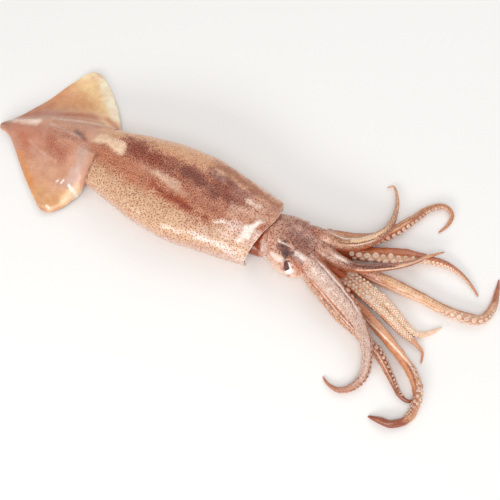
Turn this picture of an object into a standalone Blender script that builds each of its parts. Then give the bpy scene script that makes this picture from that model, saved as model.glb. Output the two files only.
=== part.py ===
"""A whole raw squid, lying belly down with its fins spread and its arms fanned out.

Metres, +Z up. The origin is on the surface that the squid lies on, under the middle
of the mantle. +X runs from the tail to the arms, and +Y is the squid's left side.
The tables are in millimetres, and MM turns them into metres.
"""

import math

import bmesh
import bpy
from mathutils import Vector

MM = 0.001

# ---------------------------------------------------------------- driving sizes

TAIL_X = -110.0             # tip of the tail
RIM_X = 103.5               # front edge of the mantle
LIP_THICK = 3.2             # wall of the mantle at its open front
MOUTH_DEPTH = 11.0          # how far the open front can be seen into
ARM_TIP_RADIUS = 0.45

MANTLE_SIDES = 32
FIN_COLUMNS = 15            # points across the pair of fins, on each face
ARM_SIDES = 8
SAMPLES_PER_SPAN = 4        # rings between two points of an arm's route

RIM_SKEW = 0.06             # slope of the front edge: forward for each step to the left

# Mantle: place along X, middle in Y, half width, height of the back, and how far
# the back's ridge lies to the left of the middle.
MANTLE_STATIONS = [
    (-110.0, -7.5, 2.2, 5.0, 0.0),
    (-96.0, -5.0, 5.5, 10.0, 1.0),
    (-72.0, -0.5, 11.5, 17.5, 2.5),
    (-42.0, 0.0, 20.0, 25.5, 3.0),
    (-15.0, 0.2, 25.6, 30.5, 3.0),
    (15.0, 0.4, 32.5, 33.5, 3.5),
    (44.0, 0.9, 35.3, 34.5, 3.5),
    (74.0, 1.4, 31.5, 33.0, 3.0),
    (92.0, 1.6, 28.4, 31.0, 2.5),
    (103.5, 1.5, 26.6, 30.0, 2.5),
]
MANTLE_RINGS = 26
MANTLE_WIDEST = 0.44        # height of the widest line, as a share of the back's height

# Fins: the outer margin of each, tail to front, as (x, y).
LEFT_MARGIN = [(-109.0, -3.5), (-99.5, 11.0), (-91.0, 29.5), (-84.0, 48.0), (-77.5, 61.5),
               (-71.0, 65.0), (-62.0, 61.5), (-51.0, 53.5), (-39.0, 42.0), (-28.0, 28.0)]
RIGHT_MARGIN = [(-109.0, -9.0), (-99.0, -13.0), (-88.0, -22.0), (-74.0, -34.0), (-58.0, -46.0),
                (-48.0, -52.3), (-41.0, -52.0), (-34.0, -43.5), (-29.0, -31.0), (-25.0, -19.0)]
FIN_EDGE_THICK = 1.6
FIN_ROOT_THICK = 5.0
FIN_EDGE_HEIGHT = 2.6       # top of the margin, above the surface it lies on
FIN_LIFT = 0.8              # how far the fins' skin stands over the mantle's back
FIN_SINK = 1.6              # how far the mantle runs below that skin, under the fins
FIN_BACK_X = -108.0
FIN_FRONT_X = -26.0
FIN_COVER_X = -44.0         # in front of this the mantle rises back to its full height

# Head: place along X, middle in Y, half width, lowest and highest point.
HEAD_STATIONS = [
    (88.0, 3.0, 15.0, 2.0, 25.0),
    (103.0, 4.6, 14.2, 1.5, 27.0),
    (112.0, 4.4, 17.0, 0.8, 28.5),
    (122.0, 2.4, 20.0, 0.3, 29.5),
    (132.0, 1.8, 20.2, 0.3, 29.0),
    (141.0, 2.4, 17.5, 0.8, 27.5),
    (151.0, 3.0, 13.0, 2.0, 22.0),
    (160.0, 4.0, 8.5, 3.5, 15.0),
]
HEAD_SIDES = 28
HEAD_RINGS = 16
EYE_RADIUS = 7.6
EYE_PLACES = {"right": (127.0, -11.6, 15.0), "left": (127.0, 15.2, 15.0)}
FUNNEL_START = (92.0, -8.0, 8.5)
FUNNEL_END = (110.5, -7.0, 7.0)
FUNNEL_RADIUS = 6.2

# Arms and tentacles: route points as (x, y, height of the middle, width).
ARM_ROUTES = {
    "arm_left_1": [(126, 12, 19, 11), (144, 15, 23, 10.6), (158, 18.5, 19.5, 10.2), (170.6, 30, 15.5, 8.2),
                   (177.8, 46, 11.5, 6.2), (177, 62, 6.5, 3.8), (173.4, 74, 4, 2.8), (166.6, 84, 2, 1.7),
                   (162, 81.5, 1.2, 1)],
    "arm_left_2": [(126, 16, 14, 9), (145, 22.5, 13, 8.8), (165.6, 32.2, 9, 9.2), (179, 45.4, 6, 8.4),
                   (188.5, 63, 4.5, 6.8), (196, 79, 3.4, 5.2), (204.5, 86.5, 2.6, 4.2),
                   (212, 83.5, 2, 3.2), (212.8, 75.5, 1.6, 2.6), (209.5, 66.5, 0.9, 1)],
    "arm_left_3": [(128, 9, 12, 10), (145, 14, 12, 9.4), (162, 20, 8, 9.8), (181, 29.2, 6, 10.6),
                   (198, 37.4, 5.5, 9.8), (211, 42.5, 4, 6.8), (226, 46, 2.6, 4.4), (239, 43.6, 1.8, 3),
                   (249.5, 38.4, 1.2, 1.8), (254, 35, 0.8, 1)],
    "arm_left_4": [(132, 3, 8, 8), (165, 5.2, 7.5, 6.4), (185, 2.2, 5.5, 7.2), (201, -1.6, 4.4, 7.2),
                   (215, -7.2, 3.4, 6), (226, -11, 2.6, 4.4), (232.5, -9, 2, 3.8), (237.5, -3.5, 1.6, 2.8),
                   (241.5, 2.5, 0.8, 1)],
    "arm_right_1": [(126, 3, 20, 11), (142, 7, 21.5, 10.6), (158, 5, 20, 10.4), (173, 8, 17, 6.8),
                    (189, 18.2, 14.5, 5.2), (203, 30.5, 12, 3.8), (211, 42, 9, 2.6), (220, 53, 5, 1.2)],
    "arm_right_2": [(124, -1, 17, 12), (142, -5, 20, 12.8), (166, -13.6, 18, 12.6), (186.5, -22.8, 14, 10),
                    (202, -36, 11, 8), (209.8, -53, 6.5, 7), (207.8, -64, 3.4, 5.8), (200.4, -71.2, 2.4, 4),
                    (192, -71, 1.5, 2.4), (186, -67.5, 0.8, 1)],
    "arm_right_3": [(126, -4, 11, 8), (139, -9, 12, 7.6), (156, -17.6, 11, 7.6), (178, -26.8, 8, 6.8),
                    (197.2, -31.2, 4.6, 7), (210.8, -35.8, 3.6, 7.4), (224.5, -45.4, 3, 5.4),
                    (236, -54.4, 2, 3.8), (243.6, -56.2, 1.4, 2.6), (247.5, -51.5, 0.8, 1)],
    "arm_right_4": [(132, -1, 8, 8), (165, 0, 7.5, 7.4), (187.5, -4.4, 5.5, 7.4), (204.5, -9, 4.4, 7.2),
                    (218.5, -14, 3.2, 5.8), (230.5, -17, 1.8, 3.2), (237.5, -20.6, 1.2, 2),
                    (240, -28, 0.8, 1)],
    "tentacle_left": [(132, 7, 10, 7), (152, 10, 10, 6.8), (175, 11.3, 7, 8.2), (193, 13, 5.6, 9.4),
                      (219, 14.3, 4, 7.4), (237, 13.9, 3.6, 7), (252, 15.6, 3.6, 7.2), (263, 20, 3.4, 6.6),
                      (266.2, 31, 3, 5.6), (264.6, 42.5, 2.2, 4.2), (261.5, 54, 0.8, 1)],
    "tentacle_right": [(134, -4, 9, 7), (155, -6.6, 9, 6.6), (172, -9.8, 7.5, 6.8), (192, -15, 5.4, 8),
                       (219.2, -26.8, 4.2, 8), (237.6, -37.9, 3.8, 7.2), (247.6, -51, 3.2, 6),
                       (249, -65.6, 2.9, 5.8), (241.6, -75, 2.8, 6), (233, -77, 2.4, 5),
                       (224.5, -78, 0.9, 1.2)],
}

SKIN_COLOUR = (0.72, 0.44, 0.30)


# ---------------------------------------------------------------- curves and lofts

def smooth_value(rows, x, column):
    """The value of a station table's column at x, on a smooth curve through its rows."""
    last = len(rows) - 1
    spans = [i for i in range(last) if rows[i + 1][0] >= x]
    i = spans[0] if spans else last - 1
    t = (x - rows[i][0]) / (rows[i + 1][0] - rows[i][0])

    def slope(k):
        before, after = rows[max(k - 1, 0)], rows[min(k + 1, last)]
        return (after[column] - before[column]) / (after[0] - before[0])

    span = rows[i + 1][0] - rows[i][0]
    start, end = rows[i][column], rows[i + 1][column]
    from_start, to_end = slope(i) * span, slope(i + 1) * span
    return (start * (2 * t ** 3 - 3 * t ** 2 + 1) + from_start * (t ** 3 - 2 * t ** 2 + t)
            + end * (3 * t ** 2 - 2 * t ** 3) + to_end * (t ** 3 - t ** 2))


def smooth_route(points, samples):
    """Points with any number of columns, read from a Catmull-Rom curve through them."""
    padded = [points[0]] + list(points) + [points[-1]]
    route = []
    for i in range(1, len(padded) - 2):
        p0, p1, p2, p3 = padded[i - 1:i + 3]
        for k in range(samples):
            t = k / samples
            route.append([0.5 * (2 * b + (c - a) * t + (2 * a - 5 * b + 4 * c - d) * t ** 2
                                 + (3 * b - a - 3 * c + d) * t ** 3)
                          for a, b, c, d in zip(p0, p1, p2, p3)])
    route.append(list(points[-1]))
    return route


def spread(start, end, count):
    return [start + (end - start) * i / (count - 1) for i in range(count)]


def loft(name, rings):
    """A closed object skinned over rings of points in millimetres, with flat ends."""
    bm = bmesh.new()
    rows = [[bm.verts.new(Vector(point) * MM) for point in ring] for ring in rings]
    count = len(rows[0])
    for near, far in zip(rows, rows[1:]):
        for k in range(count):
            bm.faces.new((near[k], near[(k + 1) % count], far[(k + 1) % count], far[k]))
    bm.faces.new(rows[0][::-1])
    bm.faces.new(rows[-1])
    bmesh.ops.recalc_face_normals(bm, faces=bm.faces)
    bmesh.ops.triangulate(bm, faces=[face for face in bm.faces if len(face.verts) > 4])
    mesh = bpy.data.meshes.new(name)
    bm.to_mesh(mesh)
    bm.free()
    made = bpy.data.objects.new(name, mesh)
    bpy.context.scene.collection.objects.link(made)
    return made


# ---------------------------------------------------------------- the parts

def mantle_ring(x, inset=0.0, push=0.0):
    """One D-shaped section: a rounded back and a belly that lies flat."""
    middle, half, top, lean = (smooth_value(MANTLE_STATIONS, x, column) for column in (1, 2, 3, 4))
    covered = min(max((FIN_FRONT_X - x) / (FIN_FRONT_X - FIN_COVER_X), 0.0), 1.0)
    half, top = half - inset, top - inset - FIN_SINK * covered * (x > FIN_BACK_X)
    widest = top * MANTLE_WIDEST
    skew = RIM_SKEW * max(0.0, (x - TAIL_X) / (RIM_X - TAIL_X)) ** 4
    ring = []
    for k in range(MANTLE_SIDES):
        angle = 2 * math.pi * (k + 0.5) / MANTLE_SIDES
        side, rise = math.cos(angle), math.sin(angle)
        if rise > 0:
            z = widest + (top - widest) * rise ** 0.95
            y = half * math.copysign(abs(side) ** 0.92, side) + lean * rise ** 2
        else:
            z = widest - (widest + 1.2 - inset) * abs(rise) ** 0.72
            y = half * math.copysign(abs(side) ** 0.8, side)
        ring.append((x + push + skew * y, middle + y, max(z, inset)))
    return ring


def make_mantle():
    rings = [mantle_ring(x) for x in spread(TAIL_X, RIM_X, MANTLE_RINGS)]
    rings.append(mantle_ring(RIM_X, 0.9, 1.1))                          # rounded lip
    rings.append(mantle_ring(RIM_X, LIP_THICK - 0.9, 1.1))
    rings.append(mantle_ring(RIM_X, LIP_THICK, 0.0))
    rings.append(mantle_ring(RIM_X, LIP_THICK + 0.4, -MOUTH_DEPTH * 0.5))
    rings.append(mantle_ring(RIM_X, LIP_THICK + 2.0, -MOUTH_DEPTH))     # bottom of the open front
    return loft("squid", rings)


def fin_section(x):
    """Across both fins at x: over the top from left to right, and back underneath."""
    left = smooth_value(LEFT_MARGIN, x, 1)
    right = smooth_value(RIGHT_MARGIN, x, 1)
    middle, body_half, body_top, lean = (smooth_value(MANTLE_STATIONS, x, column)
                                         for column in (1, 2, 3, 4))
    ridge = middle + lean
    over, under = [], []
    for k in range(FIN_COLUMNS):
        share = 0.5 - 0.5 * math.cos(math.pi * k / (FIN_COLUMNS - 1))
        y = left + (right - left) * share
        outward = abs(y - ridge) / (body_half * 1.5)
        drape = 1 / (1 + outward ** 2.6)
        edge = math.sin(math.pi * share) ** 0.4
        top = FIN_EDGE_HEIGHT + (body_top + FIN_LIFT - FIN_EDGE_HEIGHT) * drape * edge
        thick = FIN_EDGE_THICK + (FIN_ROOT_THICK - FIN_EDGE_THICK) * edge * (0.25 + 0.75 * drape)
        over.append((x, y, top))
        under.append((x, y, max(top - thick, 0.05)))
    return over + under[::-1]


def make_fins():
    return loft("fins", [fin_section(x) for x in spread(FIN_BACK_X, FIN_FRONT_X, 22)])


def head_ring(x):
    middle, half, low, high = (smooth_value(HEAD_STATIONS, x, column) for column in (1, 2, 3, 4))
    centre, rise = (low + high) / 2, (high - low) / 2
    ring = []
    for k in range(HEAD_SIDES):
        angle = 2 * math.pi * k / HEAD_SIDES
        power = 0.86 if math.sin(angle) > 0 else 0.72
        ring.append((x,
                     middle + half * math.copysign(abs(math.cos(angle)) ** 0.9, math.cos(angle)),
                     centre + rise * math.copysign(abs(math.sin(angle)) ** power, math.sin(angle))))
    return ring


def make_head():
    return loft("head", [head_ring(x) for x in spread(88.0, 160.0, HEAD_RINGS)])


def make_eye(side):
    bm = bmesh.new()
    bmesh.ops.create_icosphere(bm, subdivisions=2, radius=EYE_RADIUS * MM)
    bmesh.ops.translate(bm, verts=bm.verts, vec=Vector(EYE_PLACES[side]) * MM)
    mesh = bpy.data.meshes.new("eye_" + side)
    bm.to_mesh(mesh)
    bm.free()
    made = bpy.data.objects.new("eye_" + side, mesh)
    bpy.context.scene.collection.objects.link(made)
    return made


def tube(name, route):
    """A tapered, slightly flattened tube along a route of (x, y, z, width)."""
    stations = smooth_route(route, SAMPLES_PER_SPAN)
    rings = []
    for i, (x, y, z, width) in enumerate(stations):
        before, after = stations[max(i - 1, 0)], stations[min(i + 1, len(stations) - 1)]
        along = Vector([after[k] - before[k] for k in range(3)]).normalized()
        side = along.cross(Vector((0, 0, 1))).normalized()
        up = side.cross(along)
        radius = max(width / 2, ARM_TIP_RADIUS)
        centre = Vector((x, y, max(z, radius + 0.05)))
        rings.append([centre + side * radius * math.cos(2 * math.pi * (k + 0.5) / ARM_SIDES)
                      + up * radius * math.sin(2 * math.pi * (k + 0.5) / ARM_SIDES)
                      for k in range(ARM_SIDES)])
    return loft(name, rings)


def make_funnel():
    start, end = FUNNEL_START, FUNNEL_END
    middle = [(a + b) / 2 for a, b in zip(start, end)]
    return tube("funnel", [(*start, FUNNEL_RADIUS * 2.2), (*middle, FUNNEL_RADIUS * 2),
                           (*end, FUNNEL_RADIUS * 1.6)])


# ---------------------------------------------------------------- joining and finish

def join_solids(body, others):
    """One closed solid: everything in others is fused into the body."""
    group = bpy.data.collections.new("joined_parts")
    bpy.context.scene.collection.children.link(group)
    for other in others:
        bpy.context.scene.collection.objects.unlink(other)
        group.objects.link(other)
        other.hide_render = True
        other.display_type = "WIRE"
    union = body.modifiers.new("join", "BOOLEAN")
    union.operation = "UNION"
    union.operand_type = "COLLECTION"
    union.collection = group


def skin_material():
    skin = bpy.data.materials.new("squid_skin")
    skin.use_nodes = True
    shader = skin.node_tree.nodes["Principled BSDF"]
    shader.inputs["Base Color"].default_value = (*SKIN_COLOUR, 1)
    shader.inputs["Roughness"].default_value = 0.35
    shader.inputs["Coat Weight"].default_value = 0.4
    skin.diffuse_color = (*SKIN_COLOUR, 1)
    return skin


def main():
    for old in list(bpy.data.objects):
        bpy.data.objects.remove(old, do_unlink=True)
    squid = make_mantle()
    others = [make_fins(), make_head(), make_eye("right"), make_eye("left"), make_funnel()]
    others += [tube(name, route) for name, route in ARM_ROUTES.items()]
    join_solids(squid, others)
    squid.data.materials.append(skin_material())
    squid.data.shade_smooth()


main()
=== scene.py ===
# A whole raw squid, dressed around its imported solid.
# The tables are in millimetres, with +X from the tail to the arms and +Y the squid's left.
# Colours are written 0 to 255, as a painter would mix them on a screen.

import math
import random

import bmesh
import bpy
import numpy as np
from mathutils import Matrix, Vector, noise


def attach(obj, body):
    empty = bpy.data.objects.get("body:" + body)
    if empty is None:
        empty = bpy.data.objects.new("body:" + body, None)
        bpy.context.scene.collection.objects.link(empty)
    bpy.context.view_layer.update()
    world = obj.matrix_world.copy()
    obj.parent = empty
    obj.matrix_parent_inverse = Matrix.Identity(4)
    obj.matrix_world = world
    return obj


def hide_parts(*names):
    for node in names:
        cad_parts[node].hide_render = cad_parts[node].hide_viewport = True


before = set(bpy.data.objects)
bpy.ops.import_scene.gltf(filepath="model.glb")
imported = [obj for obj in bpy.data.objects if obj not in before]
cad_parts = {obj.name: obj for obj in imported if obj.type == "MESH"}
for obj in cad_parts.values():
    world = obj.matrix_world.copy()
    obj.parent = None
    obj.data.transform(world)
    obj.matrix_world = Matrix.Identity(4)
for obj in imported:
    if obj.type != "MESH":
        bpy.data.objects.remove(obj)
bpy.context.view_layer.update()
random.seed(11)
mm = 0.001


# ---------------------------------------------------------------- numbers and curves

def linear(colour):
    share = np.asarray(colour, float) / 255
    return np.where(share <= 0.04045, share / 12.92, ((share + 0.055) / 1.055) ** 2.4)


def easeBetween(low, high, value):
    share = np.clip((value - low) / (high - low), 0, 1)
    return share * share * (3 - 2 * share)


def bell(value, width):
    return np.exp(-(value / width) ** 2)


def ripple(points, size, seed=0.0):
    # smooth noise between about -1 and 1, with bumps size millimetres apart
    shift = Vector((seed * 7.3, seed * 3.1, seed * 1.7))
    return np.array([noise.noise(Vector(point) / size + shift) for point in points]) * 1.6


def readStations(rows, x, column):
    # a column of a station table at every x, on a smooth curve through its rows
    rows = np.array(rows, float)
    places, values = rows[:, 0], rows[:, column]
    last = len(rows) - 1
    after, before = np.minimum(np.arange(last + 1) + 1, last), np.maximum(np.arange(last + 1) - 1, 0)
    slopes = (values[after] - values[before]) / (places[after] - places[before])
    i = np.clip(np.searchsorted(places, x, side="left") - 1, 0, last - 1)
    span = places[i + 1] - places[i]
    t = (x - places[i]) / span
    return (values[i] * (2 * t ** 3 - 3 * t ** 2 + 1) + slopes[i] * span * (t ** 3 - 2 * t ** 2 + t)
            + values[i + 1] * (3 * t ** 2 - 2 * t ** 3) + slopes[i + 1] * span * (t ** 3 - t ** 2))


def smoothRoute(points, samples):
    # rows with any number of columns, read from a Catmull-Rom curve through them
    points = np.array(points, float)
    padded = np.vstack([points[:1], points, points[-1:]])
    rows = []
    for a, b, c, d in zip(padded, padded[1:], padded[2:], padded[3:]):
        for t in np.arange(samples) / samples:
            rows.append(0.5 * (2 * b + (c - a) * t + (2 * a - 5 * b + 4 * c - d) * t ** 2
                               + (3 * b - a - 3 * c + d) * t ** 3))
    return np.array(rows + [points[-1]])


def pathDistance(points, path):
    # how far each point is from a path of straight stretches, in as many axes as the path has
    path = np.atleast_2d(np.array(path, float))
    flat = points[:, :path.shape[1]]
    best = np.linalg.norm(flat - path[0], axis=1)
    for a, b in zip(path, path[1:]):
        span = b - a
        share = np.clip((flat - a) @ span / (span @ span), 0, 1)
        best = np.minimum(best, np.linalg.norm(flat - a - share[:, None] * span, axis=1))
    return best


# ---------------------------------------------------------------- making and painting a skin

def closedSkin(name, around, along, place):
    # a grid rolled into a tube: place(u, v) gives each corner, u round it and v along it
    bm = bmesh.new()
    unrolled = bm.loops.layers.uv.new("surface")
    bmesh.ops.create_grid(bm, x_segments=around, y_segments=along, size=0.5)
    flat = np.array([corner.co for corner in bm.verts])[:, :2] + 0.5
    points = place(flat[:, 0], flat[:, 1]) * mm
    lattice = np.zeros((around + 1, along + 1, 3))
    column, row = np.rint(flat[:, 0] * around).astype(int), np.rint(flat[:, 1] * along).astype(int)
    lattice[column, row] = points
    girth = np.cumsum(np.linalg.norm(np.diff(lattice, axis=0, prepend=lattice[:1]), axis=2), axis=0)
    length = np.cumsum(np.linalg.norm(np.diff(lattice, axis=1, prepend=lattice[:, :1]), axis=2).mean(0))
    girth -= girth[around // 2]
    for corner, point in zip(bm.verts, points):
        corner.co = point
    for face in bm.faces:       # the skin laid flat, in metres, for what follows the surface
        for loop in face.loops:
            i = loop.vert.index
            loop[unrolled].uv = girth[column[i], row[i]], length[row[i]]
    return finishSkin(bm, name)


def finishSkin(bm, name, weld=2e-6):
    bmesh.ops.remove_doubles(bm, verts=bm.verts, dist=weld)
    bmesh.ops.holes_fill(bm, edges=[edge for edge in bm.edges if edge.is_boundary], sides=0)
    bmesh.ops.triangulate(bm, faces=[face for face in bm.faces if len(face.verts) > 4])
    bmesh.ops.recalc_face_normals(bm, faces=bm.faces)
    return newPiece(bm, name)


def newPiece(bm, name):
    mesh = bpy.data.meshes.new(name)
    bm.to_mesh(mesh)
    bm.free()
    mesh.shade_smooth()
    piece = bpy.data.objects.new(name, mesh)
    bpy.context.scene.collection.objects.link(piece)
    return piece


def corners(piece):
    found = np.zeros(len(piece.data.vertices) * 3)
    piece.data.vertices.foreach_get("co", found)
    return found.reshape(-1, 3) / mm


def outward(piece):
    found = np.zeros(len(piece.data.vertices) * 3)
    piece.data.vertices.foreach_get("normal", found)
    return found.reshape(-1, 3)


def swell(piece, amount, lowest=0.02):
    # moves the skin out along its normals, and keeps it above the surface it lies on
    moved = corners(piece) + outward(piece) * amount[:, None]
    moved[:, 2] = np.maximum(moved[:, 2], lowest)
    piece.data.vertices.foreach_set("co", (moved * mm).ravel())
    piece.data.update()


def brush(values, points, marks, wander):
    # lays soft-edged marks over values; a mark is a path with a width, what it lays and how much
    for path, wide, soft, laid, strength in marks:
        laid = linear(laid) if values.shape[1] == 3 and laid is not None else np.array(laid, float)
        reach = pathDistance(points, path) + wander * soft * 0.8
        share = (strength * (1 - easeBetween(wide - soft, wide + soft, reach)))[:, None]
        values = values * (1 - share) + laid * share
    return values


def blend(first, second, share):
    return first * (1 - share[:, None]) + second * share[:, None]


def keepPaint(piece, tone, spots):
    # tone is the skin's colour, with painted highlights and painted shade laid into it where marked, deepened a little
    # as the wet light washes it out;
    # spots holds how strong the fine and the large spots are
    tone = np.clip(tone, 0, 1) ** 1.1 * 1.03
    for name, values in (("tone", tone), ("spots", np.column_stack([spots, np.zeros(len(spots))]))):
        layer = piece.data.color_attributes.new(name, "FLOAT_COLOR", "POINT")
        layer.data.foreach_set("color", np.column_stack([values, np.ones(len(values))]).ravel())


def dress(piece, material):
    piece.data.materials.clear()
    piece.data.materials.append(material)
    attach(piece, "root")
    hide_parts("squid")
    return piece


# ---------------------------------------------------------------- materials

def addNode(tree, kind, settings=(), **inputs):
    node = tree.nodes.new(kind)
    for key, value in dict(settings).items():
        setattr(node, key, value)
    for key, value in inputs.items():
        socket = node.inputs[int(key[2:]) if key.startswith("in") and key[2:].isdigit() else key.replace("_", " ")]
        if isinstance(value, bpy.types.NodeSocket):
            tree.links.new(value, socket)
        else:
            socket.default_value = value
    return node


def newGroup(name, inputs, outputs):
    tree = bpy.data.node_groups.new(name, "ShaderNodeTree")
    for label, kind, value in inputs:
        socket = tree.interface.new_socket(label, in_out="INPUT", socket_type="NodeSocket" + kind)
        if value is not None:
            socket.default_value = value
    for label, kind in outputs:
        tree.interface.new_socket(label, in_out="OUTPUT", socket_type="NodeSocket" + kind)
    return tree, tree.nodes.new("NodeGroupInput").outputs, tree.nodes.new("NodeGroupOutput").inputs


def speckleGroup(name, dimensions):
    # pigment spots: round, uneven in size, one in each cell of a broken lattice
    tree, given, result = newGroup(name, [("Place", "Vector", None), ("Cells", "Float", 500.0),
                                          ("Spot", "Float", 0.2)], [("Mask", "Float")])
    cells = addNode(tree, "ShaderNodeTexVoronoi", {"voronoi_dimensions": dimensions},
                    Vector=given["Place"], Scale=given["Cells"], Randomness=0.85)
    size = addNode(tree, "ShaderNodeMapRange", Value=cells.outputs["Color"], To_Min=0.55, To_Max=1.2)
    edge = addNode(tree, "ShaderNodeMath", {"operation": "MULTIPLY"}, in0=given["Spot"],
                   in1=size.outputs["Result"])
    core = addNode(tree, "ShaderNodeMath", {"operation": "MULTIPLY"}, in0=edge.outputs[0], in1=0.55)
    mask = addNode(tree, "ShaderNodeMapRange", {"interpolation_type": "SMOOTHSTEP"},
                   Value=cells.outputs["Distance"], From_Min=edge.outputs[0], From_Max=core.outputs[0])
    tree.links.new(mask.outputs["Result"], result["Mask"])
    return tree


def mottleGroup():
    # cloudy unevenness of the skin's own colour, in a broad and a fine scale
    tree, given, result = newGroup("skinMottle", [("Place", "Vector", None), ("Tone", "Color", None),
                                                  ("Amount", "Float", 0.2)], [("Tone", "Color")])
    broad = addNode(tree, "ShaderNodeTexNoise", Vector=given["Place"], Scale=240.0, Detail=5.0)
    fine = addNode(tree, "ShaderNodeTexNoise", Vector=given["Place"], Scale=1250.0, Detail=2.0)
    mixed = addNode(tree, "ShaderNodeMath", {"operation": "ADD"}, in0=broad.outputs["Fac"],
                    in1=fine.outputs["Fac"])
    centred = addNode(tree, "ShaderNodeMath", {"operation": "SUBTRACT"}, in0=mixed.outputs[0], in1=1.0)
    swing = addNode(tree, "ShaderNodeMath", {"operation": "MULTIPLY"}, in0=centred.outputs[0],
                    in1=given["Amount"])
    warmer = addNode(tree, "ShaderNodeVectorMath", {"operation": "SCALE"}, in0=(0.6, 1.0, 1.25),
                     Scale=swing.outputs[0])
    around = addNode(tree, "ShaderNodeVectorMath", {"operation": "ADD"}, in0=warmer.outputs[0],
                     in1=(1.0, 1.0, 1.0))
    toned = addNode(tree, "ShaderNodeVectorMath", {"operation": "MULTIPLY"}, in0=given["Tone"],
                    in1=around.outputs[0])
    tree.links.new(toned.outputs[0], result["Tone"])
    return tree


def reliefGroup():
    # the wet skin's relief: soft dimples and fine pores
    tree, given, result = newGroup("wetRelief", [("Place", "Vector", None), ("Dimples", "Float", 1.0),
                                                 ("Pores", "Float", 1.0)], [("Height", "Float")])
    soft = addNode(tree, "ShaderNodeTexNoise", Vector=given["Place"], Scale=230.0, Detail=2.0)
    pores = addNode(tree, "ShaderNodeTexNoise", Vector=given["Place"], Scale=1500.0, Detail=1.0)
    first = addNode(tree, "ShaderNodeMath", {"operation": "MULTIPLY"}, in0=soft.outputs["Fac"],
                    in1=given["Dimples"])
    second = addNode(tree, "ShaderNodeMath", {"operation": "MULTIPLY_ADD"}, in0=pores.outputs["Fac"],
                     in1=given["Pores"], in2=first.outputs[0])
    tree.links.new(second.outputs[0], result["Height"])
    return tree


groups = {"flatSpots": speckleGroup("flatSpots", "2D"), "solidSpots": speckleGroup("solidSpots", "3D"),
          "mottle": mottleGroup(), "relief": reliefGroup()}


def useGroup(tree, key, **inputs):
    return addNode(tree, "ShaderNodeGroup", {"node_tree": groups[key]}, **inputs)


def skinMaterial(name, look):
    # painted tone, cloudy mottle, fine and large pigment spots, all under a wet coat
    material = bpy.data.materials.new(name)
    material.use_nodes = True
    tree = material.node_tree
    shader = tree.nodes["Principled BSDF"]
    place = addNode(tree, "ShaderNodeTexCoord").outputs["Object"]
    tone = addNode(tree, "ShaderNodeAttribute", {"attribute_name": "tone"}).outputs["Color"]
    spots = addNode(tree, "ShaderNodeAttribute", {"attribute_name": "spots"}).outputs["Color"]
    strength = addNode(tree, "ShaderNodeSeparateColor", Color=spots)
    tone = useGroup(tree, "mottle", Place=place, Tone=tone, Amount=look["mottle"]).outputs["Tone"]
    surface = addNode(tree, "ShaderNodeUVMap", {"uv_map": "surface"}).outputs["UV"]
    for channel, cells, spot, dark in (("Red", look["fineCells"], look["fineSpot"], look["fineDark"]),
                                       ("Green", look["largeCells"], look["largeSpot"], look["largeDark"])):
        mask = useGroup(tree, look["lattice"], Place=surface if look["lattice"] == "flatSpots" else place,
                        Cells=cells, Spot=spot)
        share = addNode(tree, "ShaderNodeMath", {"operation": "MULTIPLY"}, in0=mask.outputs["Mask"],
                        in1=strength.outputs[channel])
        mixed = addNode(tree, "ShaderNodeMix", {"data_type": "RGBA", "blend_type": "MULTIPLY"},
                        in0=share.outputs[0], in6=tone, in7=(*dark, 1))
        tone = mixed.outputs[2]
    height = useGroup(tree, "relief", Place=place, Dimples=look["dimples"], Pores=look["pores"])
    bump = addNode(tree, "ShaderNodeBump", Height=height.outputs["Height"], Strength=look["bump"],
                   Distance=mm)
    tree.links.new(tone, shader.inputs["Base Color"])
    tree.links.new(bump.outputs["Normal"], shader.inputs["Normal"])
    shader.inputs["Roughness"].default_value = look["roughness"]
    shader.inputs["Coat Weight"].default_value = look["coat"]
    shader.inputs["Coat Roughness"].default_value = look["coatRoughness"]
    shader.inputs["Subsurface Weight"].default_value = look["depth"]
    shader.inputs["Subsurface Radius"].default_value = (1.0, 0.42, 0.28)
    shader.inputs["Subsurface Scale"].default_value = 0.0022
    return material


skinLook = {
    "mottle": 0.6, "bump": 0.55, "dimples": 0.5, "pores": 0.12, "lattice": "flatSpots",
    "fineCells": 800.0, "fineSpot": 0.48, "fineDark": (0.52, 0.15, 0.06),
    "largeCells": 500.0, "largeSpot": 0.315, "largeDark": (0.46, 0.06, 0.0),
    "roughness": 0.42, "coat": 0.55, "coatRoughness": 0.12, "depth": 0.15,
}


def skinLike(**changes):
    return {**skinLook, **changes}


# ---------------------------------------------------------------- mantle

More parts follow.
